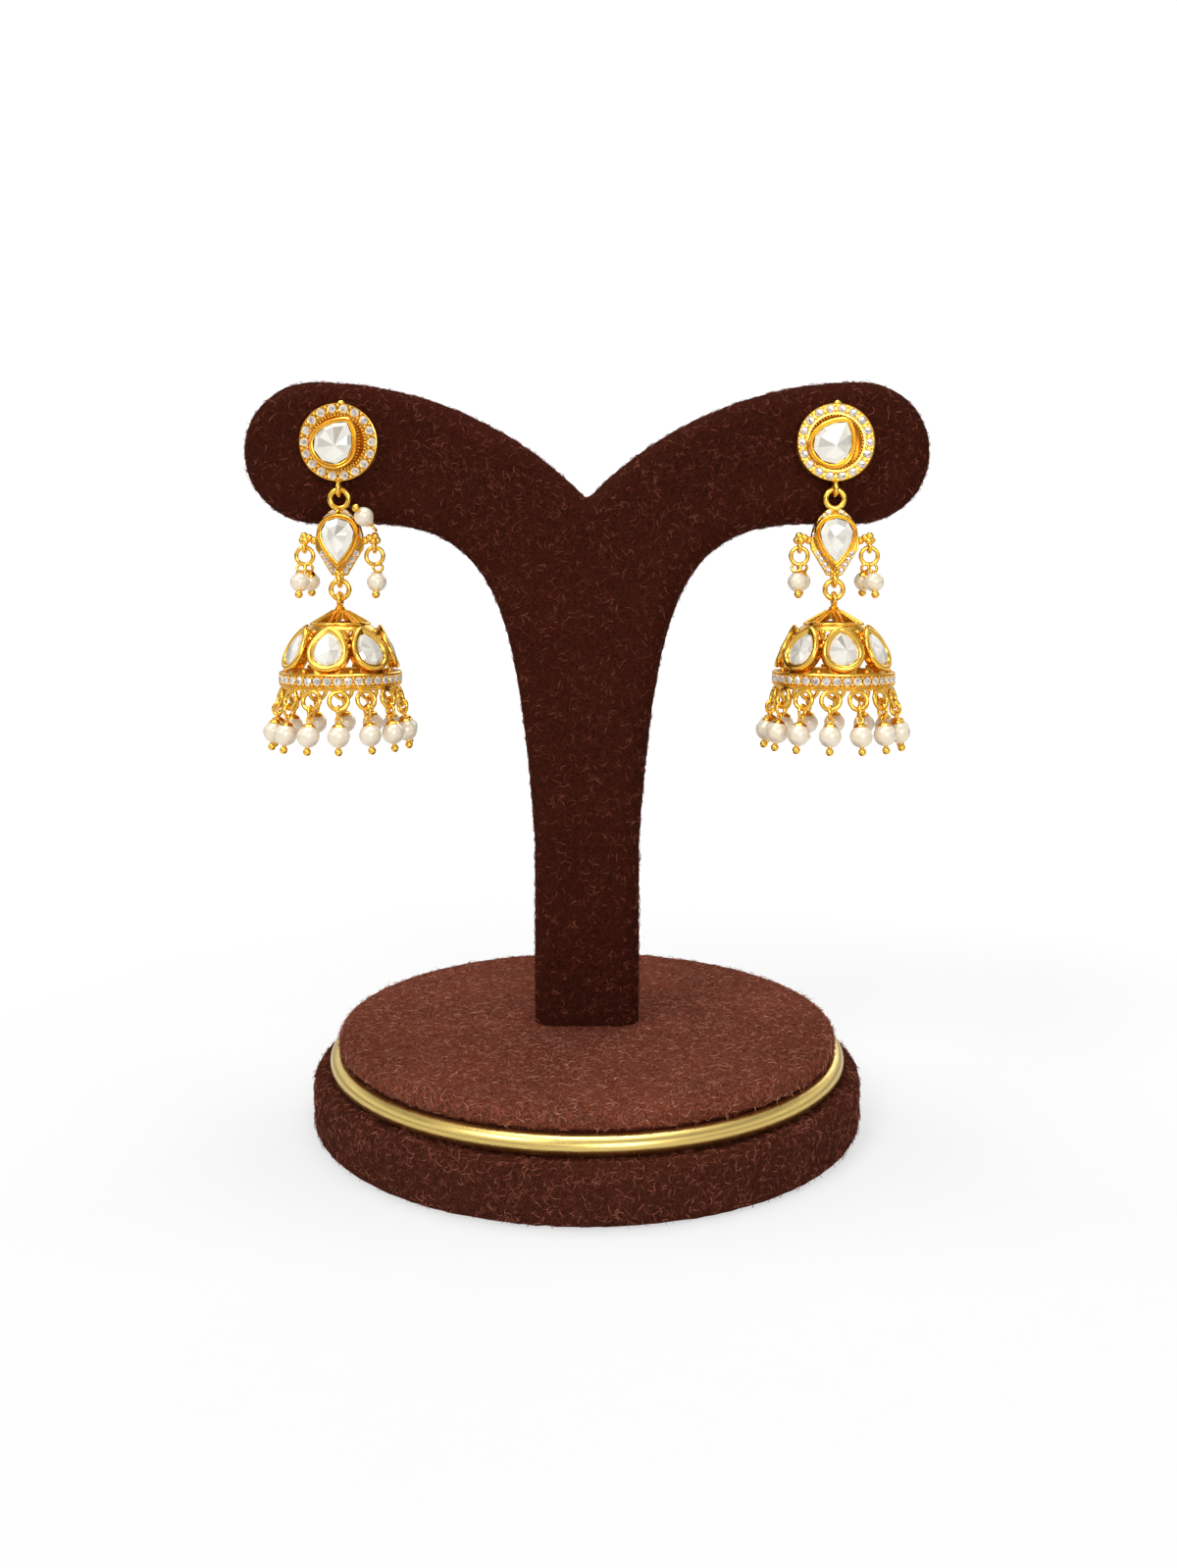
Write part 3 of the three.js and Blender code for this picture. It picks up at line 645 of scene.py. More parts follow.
def fibre_mesh(name, surface, count, seed, keep):
    """Loose curled fibres spread over a surface, each a thin tapered tube of three sides."""
    settings = stand_settings()
    length, width = settings.fibre_length * MM, settings.fibre_width * MM
    chance = np.random.default_rng(seed)
    mesh = surface.data
    mesh.calc_loop_triangles()
    corners = np.array([v.co for v in mesh.vertices])
    triangles = np.array([t.vertices[:] for t in mesh.loop_triangles])
    a, b, c = (corners[triangles[:, i]] for i in range(3))
    normals = np.cross(b - a, c - a)
    areas = np.linalg.norm(normals, axis=1)
    normals /= np.maximum(areas, 1e-12)[:, None]
    wanted = areas * np.array([keep(point, normal) for point, normal in zip((a + b + c) / 3, normals)])
    picked = chance.choice(len(triangles), count, p=wanted / wanted.sum())
    u, v = chance.random((2, count, 1))
    flip = u + v > 1
    u, v = np.where(flip, 1 - u, u), np.where(flip, 1 - v, v)
    roots = a[picked] + u * (b - a)[picked] + v * (c - a)[picked]
    up = normals[picked]
    loose = chance.normal(size=(count, 3))
    along = loose - (loose * up).sum(1, keepdims=True) * up
    along /= np.linalg.norm(along, axis=1, keepdims=True)
    across = np.cross(up, along)
    rise = chance.uniform(0.03, 0.2, (count, 1)) * length
    reach = chance.uniform(0.35, 1.0, (count, 1)) * length
    curl = chance.uniform(-2.6, 2.6, (count, 1))
    shares = np.linspace(0, 1, 4)
    spine = []
    for share in shares:
        bend = curl * share
        flat = np.where(np.abs(curl) < 0.05, share, np.sin(bend) / np.where(curl == 0, 1, curl))
        side = np.where(np.abs(curl) < 0.05, 0, (1 - np.cos(bend)) / np.where(curl == 0, 1, curl))
        lift = math.sin(math.pi * min(1.0, share * 0.8)) * rise - 0.04
        spine.append(roots + along * flat * reach + across * side * reach + up * lift)
    points = []
    for index, share in enumerate(shares):
        thick = width / 2 * (1 - 0.65 * share)
        heading = spine[min(index + 1, 3)] - spine[max(index - 1, 0)]
        heading /= np.linalg.norm(heading, axis=1, keepdims=True)
        out = np.cross(heading, up + 0.01)
        out /= np.linalg.norm(out, axis=1, keepdims=True)
        other = np.cross(heading, out)
        for k in range(3):
            angle = math.tau * k / 3
            points.append(spine[index] + (out * math.cos(angle) + other * math.sin(angle)) * thick)
    points = np.stack(points, axis=1).reshape(-1, 3)
    points[:, 2] = np.maximum(points[:, 2], 0.1)
    faces = [(0, 1, 2), (11, 10, 9)]
    for ring in range(3):
        for k in range(3):
            low, high = ring * 3 + k, ring * 3 + (k + 1) % 3
            faces += [(low, low + 3, high + 3), (low, high + 3, high)]
    faces = (np.array(faces)[None] + np.arange(count)[:, None, None] * 12).reshape(-1, 3)
    made = bpy.data.meshes.new(name)
    made.from_pydata(points.tolist(), [], faces.tolist())
    tone = made.attributes.new("tone", "FLOAT", "FACE")
    tone.data.foreach_set("value", np.repeat(chance.random(count) ** 1.5, 20).astype(np.float32))
    fuzz = bpy.data.objects.new(name, made)
    bpy.context.collection.objects.link(fuzz)
    return smooth(fuzz, 180)


def arc(centre, radius, start, end, count):
    return [(centre[0] + radius * math.cos(start + (end - start) * i / count),
             centre[1] + radius * math.sin(start + (end - start) * i / count)) for i in range(count + 1)]


def disc_profile(low, high, radius, low_edge, high_edge, foot=0.0):
    """Half the section of a padded disc, from the middle of its underside to the middle of its top."""
    step = 1.3
    under = [(r * step + foot, low) for r in range(int((radius - low_edge - foot) / step))]
    lower = arc((radius - low_edge, low + low_edge), low_edge, -math.pi / 2, 0, 4)
    rise = high - high_edge - low - low_edge
    wall = [(radius, low + low_edge + rise * i / 5) for i in range(1, 5)]
    upper = arc((radius - high_edge, high - high_edge), high_edge, 0, math.pi / 2, 5)
    over = [(r * step, high) for r in reversed(range(int((radius - high_edge) / step)))]
    return under + lower + wall + upper + over


class JHUMKA_OT_base(bpy.types.Operator):
    """Build the two felt-covered discs and the brass ring between them."""

    bl_idname = "jhumka.base"
    bl_label = "Base"

    def execute(self, context):
        settings = stand_settings()
        # One felt in lit and shaded copies: the upper disc is painted lighter for its lit top, the lower disc painted
        # darker for its shaded side.
        lower_looks = felt_material("lower_felt", 0.56, 0.9, 0.1), fibre_material("lower_fibres", 0.6, 0.15)
        upper_looks = felt_material("upper_felt", 2.0, 0.9, 0.08), fibre_material("upper_fibres", 1.05, 0.1)
        low, high = box_mm("base_lower")
        radius = high.x
        lower = turned("base_lower", disc_profile(low.z + 0.15, high.z, radius - 0.1, 0.8, 1.5), 200)
        felted(lower, 0.35)
        under_low, under_high = box_mm("base_upper")
        top_radius = under_high.x
        upper = turned("base_upper", disc_profile(under_low.z - 0.1, under_high.z, top_radius - 0.05, 0.3, 1.3), 200)
        ring_low, ring_high = box_mm("base_ring")
        waist = ring_high.x - settings.ring_wire * MM - 0.15
        for vertex in upper.data.vertices:
            reach = math.hypot(vertex.co.x, vertex.co.y)
            if vertex.co.z < ring_high.z + 0.25 and reach > waist:
                vertex.co.x *= waist / reach
                vertex.co.y *= waist / reach
        felted(upper, 0.3)
        for piece, seed, count, name, looks in ((lower, 11, 7000, "base_lower", lower_looks),
                                                (upper, 12, 9800, "base_upper", upper_looks)):
            felt, fibres = looks
            dressed(piece, felt)
            shown = (lambda p, n: float(p[2] > 0.6 and math.hypot(p[0], p[1]) > top_radius - 1.5)) \
                if piece is lower else \
                (lambda p, n: float(p[2] > ring_high.z + 0.4 and (abs(p[0]) > 8 or abs(p[1]) > 5)))
            fuzz = fibre_mesh(f"{name}_fibres", piece, count, seed, shown)
            dressed_fibres(fuzz, fibres)
            settled(fuzz, f"{name}_fibres", Matrix.Identity(4), "stand", "base_felt")
            settled(piece, f"{name}_felt", Matrix.Identity(4), "stand", "base_felt", name)
        ring = add("torus", "ring", major_radius=(ring_high.x - settings.ring_wire * MM / 2),
                   minor_radius=settings.ring_wire * MM / 2, major_segments=180, minor_segments=20,
                   location=(0, 0, (ring_low.z + ring_high.z) / 2))
        for vertex in ring.data.vertices:
            if vertex.co.y > ring_high.x - 5 and abs(vertex.co.x) < 0.4:
                vertex.co.z += ((ring_low.z + ring_high.z) / 2 - vertex.co.z) * 0.06
        brass = metal_material("brass_rod", tuple(settings.brass_colour), 0.26, 0.5, 0.015)
        settled(dressed(smooth(ring), brass), "base_brass_ring", Matrix.Identity(4), "stand", "brass", "base_ring")
        return {"FINISHED"}


def dressed_fibres(fuzz, material):
    fuzz.data.materials.append(material)
    return fuzz


def bezier(points, count):
    a, b, c, d = (Vector(point) for point in points)
    return [tuple(a * (1 - t) ** 3 + b * 3 * t * (1 - t) ** 2 + c * 3 * t * t * (1 - t) + d * t ** 3)
            for t in (i / count for i in range(count + 1))]


def arm_outline():
    """Half the Y, from the foot of the stem to the notch, on the +X side."""
    settings = stand_settings()
    low, high = box_mm("stand_arms")
    half = settings.stem_width * MM / 2
    round_end = settings.arm_end_radius * MM
    flare = settings.flare_height * MM
    notch = settings.notch_depth * MM
    reach = high.x - round_end
    under = high.z - 2 * round_end
    rise, run = under - flare, reach - half
    sag = (reach ** 2 + notch ** 2) / (2 * notch)
    stem = [(half, low.z - settings.edge_radius * MM * 1.2), (half, flare * 0.6)]
    curve = bezier(((half, flare), (half + 0.08 * run, flare + 0.7 * rise), (half + 0.15 * run, under),
                    (half + 0.75 * run, under)), 22)
    end = arc((reach, high.z - round_end), round_end, -math.pi / 2, math.pi / 2, 20)
    dip = arc((reach, high.z - sag), sag, math.pi / 2, math.pi - math.acos(reach / sag), 18)[1:]
    return stem + curve + end + dip


class JHUMKA_OT_arms(bpy.types.Operator):
    """Build the felt-covered Y that carries the earrings."""

    bl_idname = "jhumka.arms"
    bl_label = "Stem and arms"

    def execute(self, context):
        settings = stand_settings()
        edge = settings.edge_radius * MM
        low, high = box_mm("stand_arms")
        right = arm_outline()
        left = [(-x, z) for x, z in reversed(right[:-1])]
        arms = traced("arms", [(x, low.y, z) for x, z in right + left])
        with editing(arms) as mesh:
            bpy.ops.mesh.remove_doubles(threshold=1e-3)
            bpy.ops.mesh.edge_face_add()
            bpy.ops.mesh.extrude_region_move(TRANSFORM_OT_translate={"value": (0, high.y - low.y, 0)})
            bpy.ops.mesh.select_all(action="SELECT")
            bpy.ops.mesh.normals_make_consistent(inside=False)
            bpy.ops.mesh.select_all(action="DESELECT")
            bpy.ops.mesh.select_mode(type="EDGE")
            mesh = bmesh.from_edit_mesh(arms.data)
            for line in mesh.edges:
                ends = [corner.co.y for corner in line.verts]
                line.select_set(abs(ends[0] - ends[1]) < 1e-3)
            bmesh.update_edit_mesh(arms.data)
            bpy.ops.mesh.bevel(offset=edge, segments=5, profile=0.5, clamp_overlap=False)
        finished_with(arms, "REMESH", mode="VOXEL", voxel_size=0.75)
        finished_with(arms, "SMOOTH", factor=0.5, iterations=6)
        for vertex in arms.data.vertices:
            rise = min(1.0, max(0.0, (vertex.co.z - low.z) / 50))
            vertex.co.y *= 0.78 + 0.22 * rise * rise * (3 - 2 * rise)
        with editing(arms):
            bpy.ops.mesh.bisect(plane_co=(0, 0, low.z - 0.1), plane_no=(0, 0, 1), clear_inner=True, use_fill=True)
        felted(arms, 0.3)
        # The stem and arms take a darker, richer copy of the felt: painted shade on their front faces.
        dressed(arms, felt_material("stand_felt", 0.38, 0.9, 0.3))
        fuzz = fibre_mesh("stand_fibres", arms, 9800, 13, lambda p, n: float(p[2] > low.z + 0.3))
        dressed_fibres(fuzz, fibre_material("stand_fibres", 0.5, 0.25))
        settled(fuzz, "stand_fibres", Matrix.Identity(4), "stand", "stand_felt")
        settled(arms, "stand_felt_arms", Matrix.Identity(4), "stand", "stand_felt", "stand_arms")
        return {"FINISHED"}


# Small parts of the earrings, in their own millimetres with +Z towards the viewer

def small_stone(diameter):
    """A round stone with a table and eight crown facets."""
    radius = diameter / 2
    stone = add("circle", "small_stone", vertices=8, radius=radius, fill_type="NGON")
    with editing(stone):
        bpy.ops.mesh.extrude_region_move(TRANSFORM_OT_translate={"value": (0, 0, radius * 0.3)})
        bpy.ops.mesh.inset(thickness=radius * 0.38, depth=radius * 0.28)
        bpy.ops.mesh.poke(offset=radius * 0.05)
    return outwards(stone)


def with_stones(places, diameter, seed):
    """Small stones at their places, each facet in its own tone of painted reflection."""
    chance = random.Random(seed)
    turns = [place @ turn(chance.uniform(0, 45), "Z") for place in places]
    row = at_each(small_stone(diameter), turns)
    # Painted reflection: the table facets take darker tones than the crown, which darkens the stones' middles.
    table, crown = (0.1, 0.25, 0.4, 0.6, 0.8), (0.0, 0.0, 0.1, 0.2, 0.45)
    return dressed(row, pave_glass(), lambda face: chance.choice(table if len(face.vertices) == 3 else crown))


def grains(places, diameter):
    return smooth(at_each(grain("grain", diameter), places), 180)


def cut_stone(name, outline, rise, seed, dark_facets=(), table=0.2):
    """A flat stone: a narrow ring of crown facets and a star of large facets that meet off its middle."""
    chance = random.Random(seed)
    width = max(x for x, _ in outline)
    stone = moulded(name, outline, ((0, rise * 0.45), (width * table, rise * 0.45)))
    with editing(stone):
        bpy.ops.mesh.select_mode(type="FACE")
        bpy.ops.mesh.select_all(action="DESELECT")
        mesh = bmesh.from_edit_mesh(stone.data)
        max(mesh.faces, key=lambda face: face.calc_center_median().z).select_set(True)
        bmesh.update_edit_mesh(stone.data)
        bpy.ops.mesh.poke(offset=rise * 0.3)
    middle = max(stone.data.vertices, key=lambda vertex: vertex.co.z)
    middle.co.x += width * 0.16
    middle.co.y -= width * 0.1
    count = len(outline)

    # Painted reflection: every facet of the star takes a lighter or darker tone, the listed dark facets the darkest;
    # the steep sides get a painted shade.
    def tone(face):
        centre = face.center
        share = (math.atan2(centre.x, centre.y) / math.tau) % 1.0
        index = int(share * count)
        in_star = len(face.vertices) == 3
        if in_star and index in dark_facets:
            return 0.8 + chance.uniform(-0.1, 0.1)
        if in_star:
            return chance.choice((0.0, 0.0, 0.04, 0.1, 0.2, 0.34))
        return chance.choice((0.0, 0.06, 0.18, 0.34)) if face.normal.z > 0.2 else 0.5

    return dressed(stone, kundan(), tone)


def bezel(outline, steps):
    """A cup whose rim follows the outline; the last flat face is its floor."""
    cup = moulded("bezel", outline, steps)
    # Painted shade on the lower wall of the cup, below 0.75 mm.
    return dressed(smooth(cup, 55), gold(), lambda face: 0.5 if face.center.z < 0.75 else 0.0)


# The rim of a bezel from its foot, inward and up: two lips with a groove between them
DOUBLE_LIP = ((0, 1.2), (0.08, 0.22), (0.16, 0.12), (0.14, -0.05), (0.05, -0.16), (0.05, 0.2), (0.1, 0.14),
              (0.12, -0.01), (0.08, -0.12), (0.02, -0.25), (0, -0.75))
# A broad polished rim that curves over to a thin inner edge
BROAD_RIM = ((0.3, 0.0), (0, 0.7), (-0.17, 0.1), (-0.1, 0.16), (-0.03, 0.18), (0.05, 0.18), (0.11, 0.14), (0.16, 0.09),
             (0.2, 0.02), (0.2, -0.05), (0.15, -0.1), (0.07, -0.13), (0.03, -0.1), (0.02, -0.3), (0, -0.3))


def rim_width(steps):
    return sum(inward for inward, _ in steps)


def inset_outline(outline, inward, count=0):
    """The outline drawn in by a distance, with its own corners or with as many evenly spread ones."""
    sides = outline_sides(outline)
    if count:
        ways = [Vector((-math.sin(math.tau * i / count), math.cos(math.tau * i / count))) for i in range(count)]
    else:
        ways = [Vector(point) for point in outline]
    return [tuple(drawn_in(sides, way, inward)) for way in ways]


def evenly_spaced(outline, step):
    """Points at equal distances along a closed outline, from its first corner."""
    corners = [Vector(point) for point in outline]
    sides = list(zip(corners, corners[1:] + corners[:1]))
    length = sum((b - a).length for a, b in sides)
    count = round(length / step)
    points, walked, index = [], 0.0, 0
    for i in range(count):
        wanted = length * i / count
        while walked + (sides[index][1] - sides[index][0]).length < wanted:
            walked += (sides[index][1] - sides[index][0]).length
            index += 1
        a, b = sides[index]
        points.append(tuple(a + (b - a).normalized() * (wanted - walked)))
    return points


def pearl_on_pin(diameter, top, eye_outer, eye_wire):
    """A pearl with its scalloped cap, its pin and end ball; top is where the eye ends and the cap begins."""
    radius = diameter / 2
    end = earring_settings().end_ball * MM / 2
    middle = top - 0.25 - radius
    pearl = ball("pearl", diameter, 22, 14)
    chance = random.Random(5)
    for vertex in pearl.data.vertices:
        vertex.co *= 1 + chance.uniform(-0.001, 0.001)
    dressed(smooth(placed(pearl, shift(0, 0, middle)), 180), nacre())
    cap_radius = radius * 0.6
    cap = turned("cap", [(0.16, top + 0.06), (0.3, top + 0.04), (cap_radius * 0.62, top - 0.12),
                         (cap_radius * 0.92, top - 0.42), (cap_radius * 1.06, top - 0.66)], 20)
    for vertex in cap.data.vertices:
        reach = math.hypot(vertex.co.x, vertex.co.y)
        if reach > cap_radius * 0.85:
            petal = math.cos(5 * math.atan2(vertex.co.y, vertex.co.x))
            vertex.co.z += 0.11 * (1 - petal) - 0.04
    finished_with(cap, "SOLIDIFY", thickness=0.14, offset=1.0)
    pin = add("cylinder", "pin", vertices=8, radius=0.14, depth=diameter + 0.9, location=(0, 0, middle))
    seat = grain("seat", 0.66)
    placed(seat, shift(0, 0, middle - radius - 0.02) @ Matrix.Scale(0.6, 4, (0, 0, 1)))
    head = placed(ball("head", 2 * end, 16, 10), shift(0, 0, middle - radius - end * 0.95))
    eye = wire_ring("eye", eye_outer, eye_wire, around=20, section=8)
    placed(eye, shift(0, 0, top + eye_outer / 2 - eye_wire * 0.4))
    metal = [dressed(smooth(part, 60), gold()) for part in (cap, pin, seat, head, eye)]
    return joined("pearl_drop", [pearl, *metal])


def toned_metal(piece, tone=0.0, angle=42):
    return dressed(smooth(piece, angle), gold(), tone)


class JHUMKA_OT_studs(bpy.types.Operator):
    """Build the two studs with their halo of small stones."""

    bl_idname = "jhumka.studs"
    bl_label = "Studs"

    def execute(self, context):
        settings = earring_settings()
        low, high = box_mm("left_stud_setting")
        radius = (high.x - low.x) / 2
        thick, pave_radius, inside = 1.5, radius - 0.82, radius - 1.75
        stone = settings.small_stone * MM
        plate = turned("plate", [
            (0, 0), (radius - 0.25, 0), (radius - 0.05, 0.12), (radius - 0.05, 0.6), (radius - 0.12, 0.66),
            (radius - 0.12, 0.76), (radius - 0.02, 0.84), (radius - 0.02, thick + 0.45),
            (radius - 0.06, thick + 0.56), (radius - 0.14, thick + 0.58), (radius - 0.19, thick + 0.5),
            (radius - 0.22, thick + 0.36), (inside + 0.3, thick + 0.36), (inside + 0.24, thick + 0.5),
            (inside + 0.06, thick + 0.5), (inside - 0.04, thick + 0.35), (inside - 0.1, thick - 0.2),
            (inside - 0.3, thick - 0.35), (0, thick - 0.35),
        ], 72)
        # Painted shade on the plate's sunken floor inside its rim and in the channel under the small stones.
        toned_metal(plate, lambda face: 0.75 if face.center.z > 0.5 and math.hypot(*face.center[:2]) < inside - 0.1
                    else (0.35 if thick + 0.3 < face.center.z < thick + 0.4 else 0.0))
        places = ring_places(settings.halo_stones, pave_radius, thick + 0.3)
        stones = with_stones(places, stone, 21)
        half_step = math.pi / settings.halo_stones
        prongs = grains(ring_places(settings.halo_stones, pave_radius + 0.42, thick + 0.52, half_step)
                        + ring_places(settings.halo_stones, pave_radius - 0.44, thick + 0.52, half_step), 0.48)
        seats = wire_ring("seat", stone + 0.2, 0.14, around=16, section=5)
        seats = at_each(placed(seats, turn(-90, "X")), [place @ shift(0, 0, 0.1) for place in places])
        rope = grains(ring_places(52, inside - 0.16, thick + 0.28), 0.36)
        outline = drop_outline(7.4, 8.5, 0.48, 60)
        lean = shift(-0.36, 0.08, thick - 0.25) @ turn(-33, "Z")
        cup = placed(bezel(outline, DOUBLE_LIP), lean)
        skirt = grains([lean @ shift(x, y, 0.05) for x, y in drop_outline(7.65, 8.75, 0.48, 58)], 0.36)
        nub = placed(grain("nub", 0.95), shift(0.35, radius + 0.02, thick * 0.75) @ Matrix.Scale(1.3, 4, (1, 0, 0)))
        loop_outer, loop_wire = 2.85, 0.75
        loop = wire_ring("loop", loop_outer, loop_wire, sideways=True, around=30, section=12)
        placed(loop, turn(-90, "X"))
        placed(loop, shift(0, -radius - (loop_outer - loop_wire) / 2, 1.3))
        knuckle = placed(ball("knuckle", 1.15, 14, 9), shift(0, -radius + 0.05, 1.25) @ Matrix.Scale(0.7, 4, (0, 1, 0)))
        post = turned("post", [(0, -9.2), (0.25, -9.15), (0.45, -8.75), (0.45, 0.3), (0, 0.3)], 16)
        metal = [toned_metal(part) for part in (prongs, seats, rope, nub, loop, knuckle, post)]
        # The beads round the cup's foot get a painted shade (tone 0.35).
        stud = joined("stud", [plate, cup, stones, *metal, toned_metal(skirt, 0.35)])
        inner = inset_outline(outline, rim_width(DOUBLE_LIP) - 0.03, 10)
        glass = placed(cut_stone("stud_glass", inner, 0.95, 31, dark_facets=(9,)), lean @ shift(0, 0, 1.15))
        for side in SIDES:
            box_low, box_high = box_mm(f"{side}_stud_setting")
            back = box_mm("stand_arms")[0].y - 0.1
            top = pivot(f"{side}_connector_swing").z + 8.1
            place = shift((box_low.x + box_high.x) / 2, back, top) @ FACING
            settled(copy_of(stud, "stud"), f"{side}_stud_with_pave", place, "stand", "gold", f"{side}_stud_setting")
            settled(copy_of(glass, "glass"), f"{side}_stud_kundan", place, "stand", "kundan", f"{side}_stud_stone")
        bpy.data.objects.remove(stud)
        bpy.data.objects.remove(glass)
        return {"FINISHED"}


class JHUMKA_OT_connectors(bpy.types.Operator):
    """Build the leaf-shaped connectors and the rings on them."""

    bl_idname = "jhumka.connectors"
    bl_label = "Connectors"

    def execute(self, context):
        settings = earring_settings()
        middle, tip = -7.095, -12.395
        down = shift(0, middle, 0) @ turn(180, "Z")
        edge = [(1.2, 5.2), (3.65, 1.1), (3.72, 0.2), (3.6, -1.1), (3.3, -2.2), (2.5, -3.8), (1.3, -4.9)]
        plate_outline = [(0, 5.3)] + [(-x, y) for x, y in edge] + [(0, -5.3)] + edge[::-1]
        plate = moulded("plate", plate_outline, ((0, 0.25), (-0.02, 0.2), (0.02, 0.35), (0.12, 0.16), (0.14, 0.0),
                                                 (0.08, -0.14), (0.5, 0.0), (0, 0.02)))
        placed(plate, down @ shift(0, 0, -0.5))
        # Painted shade on the plate's sunken bed, where the small stones sit.
        toned_metal(plate, lambda face: 0.3 if face.normal.z > 0.9 and abs(face.center.z - 0.32) < 0.1 else 0.0)
        outline = drop_outline(6.5, 8.5, 0.9, 60)
        cup = placed(bezel(outline, DOUBLE_LIP), down @ shift(0, 0, 0.3))
        track = evenly_spaced(inset_outline(plate_outline, 0.55), 1.02)
        spots = [point for point in track if abs(point[1] - 0.6) > 1.2 and abs(point[0]) > 0.5]
        stones = placed(with_stones([shift(x, y, 0.3) for x, y in spots], 1.0, 41), down)
        beads = [shift(x * share, y * share, 0.44) for x, y in evenly_spaced(inset_outline(plate_outline, 0.55), 0.51)[1::2]
                 for share in (0.93, 1.09) if abs(y - 0.6) > 1.0]
        prongs = placed(grains(beads, 0.38), down)
        top_ring = wire_ring("top_ring", 3.75, 0.9, around=36, section=14)
        placed(top_ring, turn(-90, "X"))
        placed(top_ring, shift(0, -0.52, 0))
        eyelet = wire_ring("eyelet", 1.15, 0.34, around=18, section=8)
        placed(eyelet, turn(-90, "X"))
        placed(eyelet, shift(0, -2.72, 0.55))
        # A thin disc in the eyelet's hole, for a dark painted shade there.
        hole = placed(add("cylinder", "hole", vertices=16, radius=0.3, depth=0.1), shift(0, -2.72, 0.5))
        tip_loop = wire_ring("tip_loop", 2.6, 0.75, sideways=True, around=28, section=12)
        placed(tip_loop, turn(-90, "X"))
        placed(tip_loop, shift(0, -13.02, 0))
        knot = grains([shift(0, tip + 0.25, 0.62), shift(-0.36, tip + 0.62, 0.45), shift(0.36, tip + 0.62, 0.45),
                       shift(-0.3, tip - 0.1, 0.3), shift(0.3, tip - 0.1, 0.3)], 0.85)
        clusters = []
        for side in (-1, 1):
            spots_in = ((3.95, -6.95, 0.1), (4.65, -6.55, 0.3), (5.45, -6.25, 0.1), (5.75, -6.9, -0.1), (5.2, -7.0, 0.4))
            clusters += [shift(side * x, y, z) for x, y, z in spots_in]
        cluster = grains(clusters, 1.25)
        loops = []
        for side in (-1, 1):
            loop = wire_ring("side_loop", 2.0, 0.6, sideways=True, around=24, section=10)
            placed(loop, turn(-90, "X"))
            loops.append(placed(loop, shift(side * 5.4, -7.995, 0)))
        metal = [toned_metal(part) for part in (prongs, top_ring, eyelet, tip_loop, knot, cluster, *loops)]
        # The hole's disc takes the darkest painted shade (tone 1.0).
        body = joined("connector", [plate, cup, stones, toned_metal(hole, 1.0), *metal])
        inner = inset_outline(outline, rim_width(DOUBLE_LIP) - 0.03, 12)
        glass = cut_stone("glass", inner, 0.9, 42, dark_facets=(6,), table=0.35)
        placed(glass, down @ shift(0, 0, 1.55))
        side_ring = toned_metal(wire_ring("side_ring", 3.3, 0.68, around=30, section=12))
        link = toned_metal(wire_ring("link", 3.6, 0.8, around=34, section=12))
        for side in SIDES:
            place = Matrix.Translation(pivot(f"{side}_connector_swing")) @ FACING
            body_name = f"{side}_connector"
            settled(copy_of(body, "c"), f"{side}_connector_with_pave", place, body_name, "gold",
                    f"{side}_connector_setting")
            settled(copy_of(glass, "g"), f"{side}_connector_kundan", place, body_name, "kundan",
                    f"{side}_connector_stone")
            for letter in "ab":
                low, high = box_mm(f"{side}_side_ring_{letter}")
                settled(copy_of(side_ring, "r"), f"{side}_side_jump_ring_{letter}",
                        Matrix.Translation((low + high) / 2), body_name, "gold", f"{side}_side_ring_{letter}")
            low, high = box_mm(f"{side}_link_ring")
            settled(copy_of(link, "l"), f"{side}_link_jump_ring", Matrix.Translation((low + high) / 2),
                    f"{side}_link", "gold", f"{side}_link_ring")
        for piece in (body, glass, side_ring, link):
            bpy.data.objects.remove(piece)
        return {"FINISHED"}


class JHUMKA_OT_side_drops(bpy.types.Operator):
    """Build the pearl drops at the connector's sides."""

    bl_idname = "jhumka.side_drops"
    bl_label = "Side drops"

    def execute(self, context):
        diameter = earring_settings().side_pearl * MM
        drop = pearl_on_pin(diameter, -1.27, 1.9, 0.45)
        ring_wire = Vector((0, 0, -10.64))
        for side in SIDES:
            start = pivot(f"{side}_connector_swing")
            for letter, direction, tilt, apart in (("a", -1, -27, -0.5), ("b", 1, -27, -0.5),
                                                   ("c", -1, 32, 0.5), ("d", 1, 32, 0.5)):
                place = Matrix.Translation(start + ring_wire + Vector((direction * (5.4 - apart), 0, 0))) \
                    @ turn(tilt, "X") @ turn(18 * direction, "Z")
                if side == "left" and letter == "d":
                    aim = Vector((-0.46, -0.65, 0.61)).normalized()
                    swing = Vector((0, 0, -1)).rotation_difference(aim).to_matrix().to_4x4()
                    place = Matrix.Translation(start + Vector((5.52, -0.3, -5.205))) @ swing
                settled(copy_of(drop, "d"), f"{side}_side_pearl_{letter}", place, f"{side}_connector", "pearl",
                        f"{side}_side_drop_{letter}")
        bpy.data.objects.remove(drop)
        return {"FINISHED"}


# Heights of the bell under its pivot
CAP_TOP, CAP_BASE = -1.97, -3.87
SHOULDER_BASE, BAND_TOP, BAND_BASE = -4.57, -11.17, -13.27
COLLAR_RADIUS, CAP_RADIUS, SHOULDER_RADIUS, WALL_RADIUS, BELL_RADIUS = 1.2, 4.5, 5.3, 8.2, 9.37


def prism(points, depth):
    """A triangular cutter whose points lie in the XY plane."""
    block = add("circle", "cutter", vertices=len(points), fill_type="NGON")
    for vertex, point in zip(block.data.vertices, points):
        vertex.co = (*point, 0)
    with editing(block):
        bpy.ops.mesh.extrude_region_move(TRANSFORM_OT_translate={"value": (0, 0, depth)})
    return outwards(block)


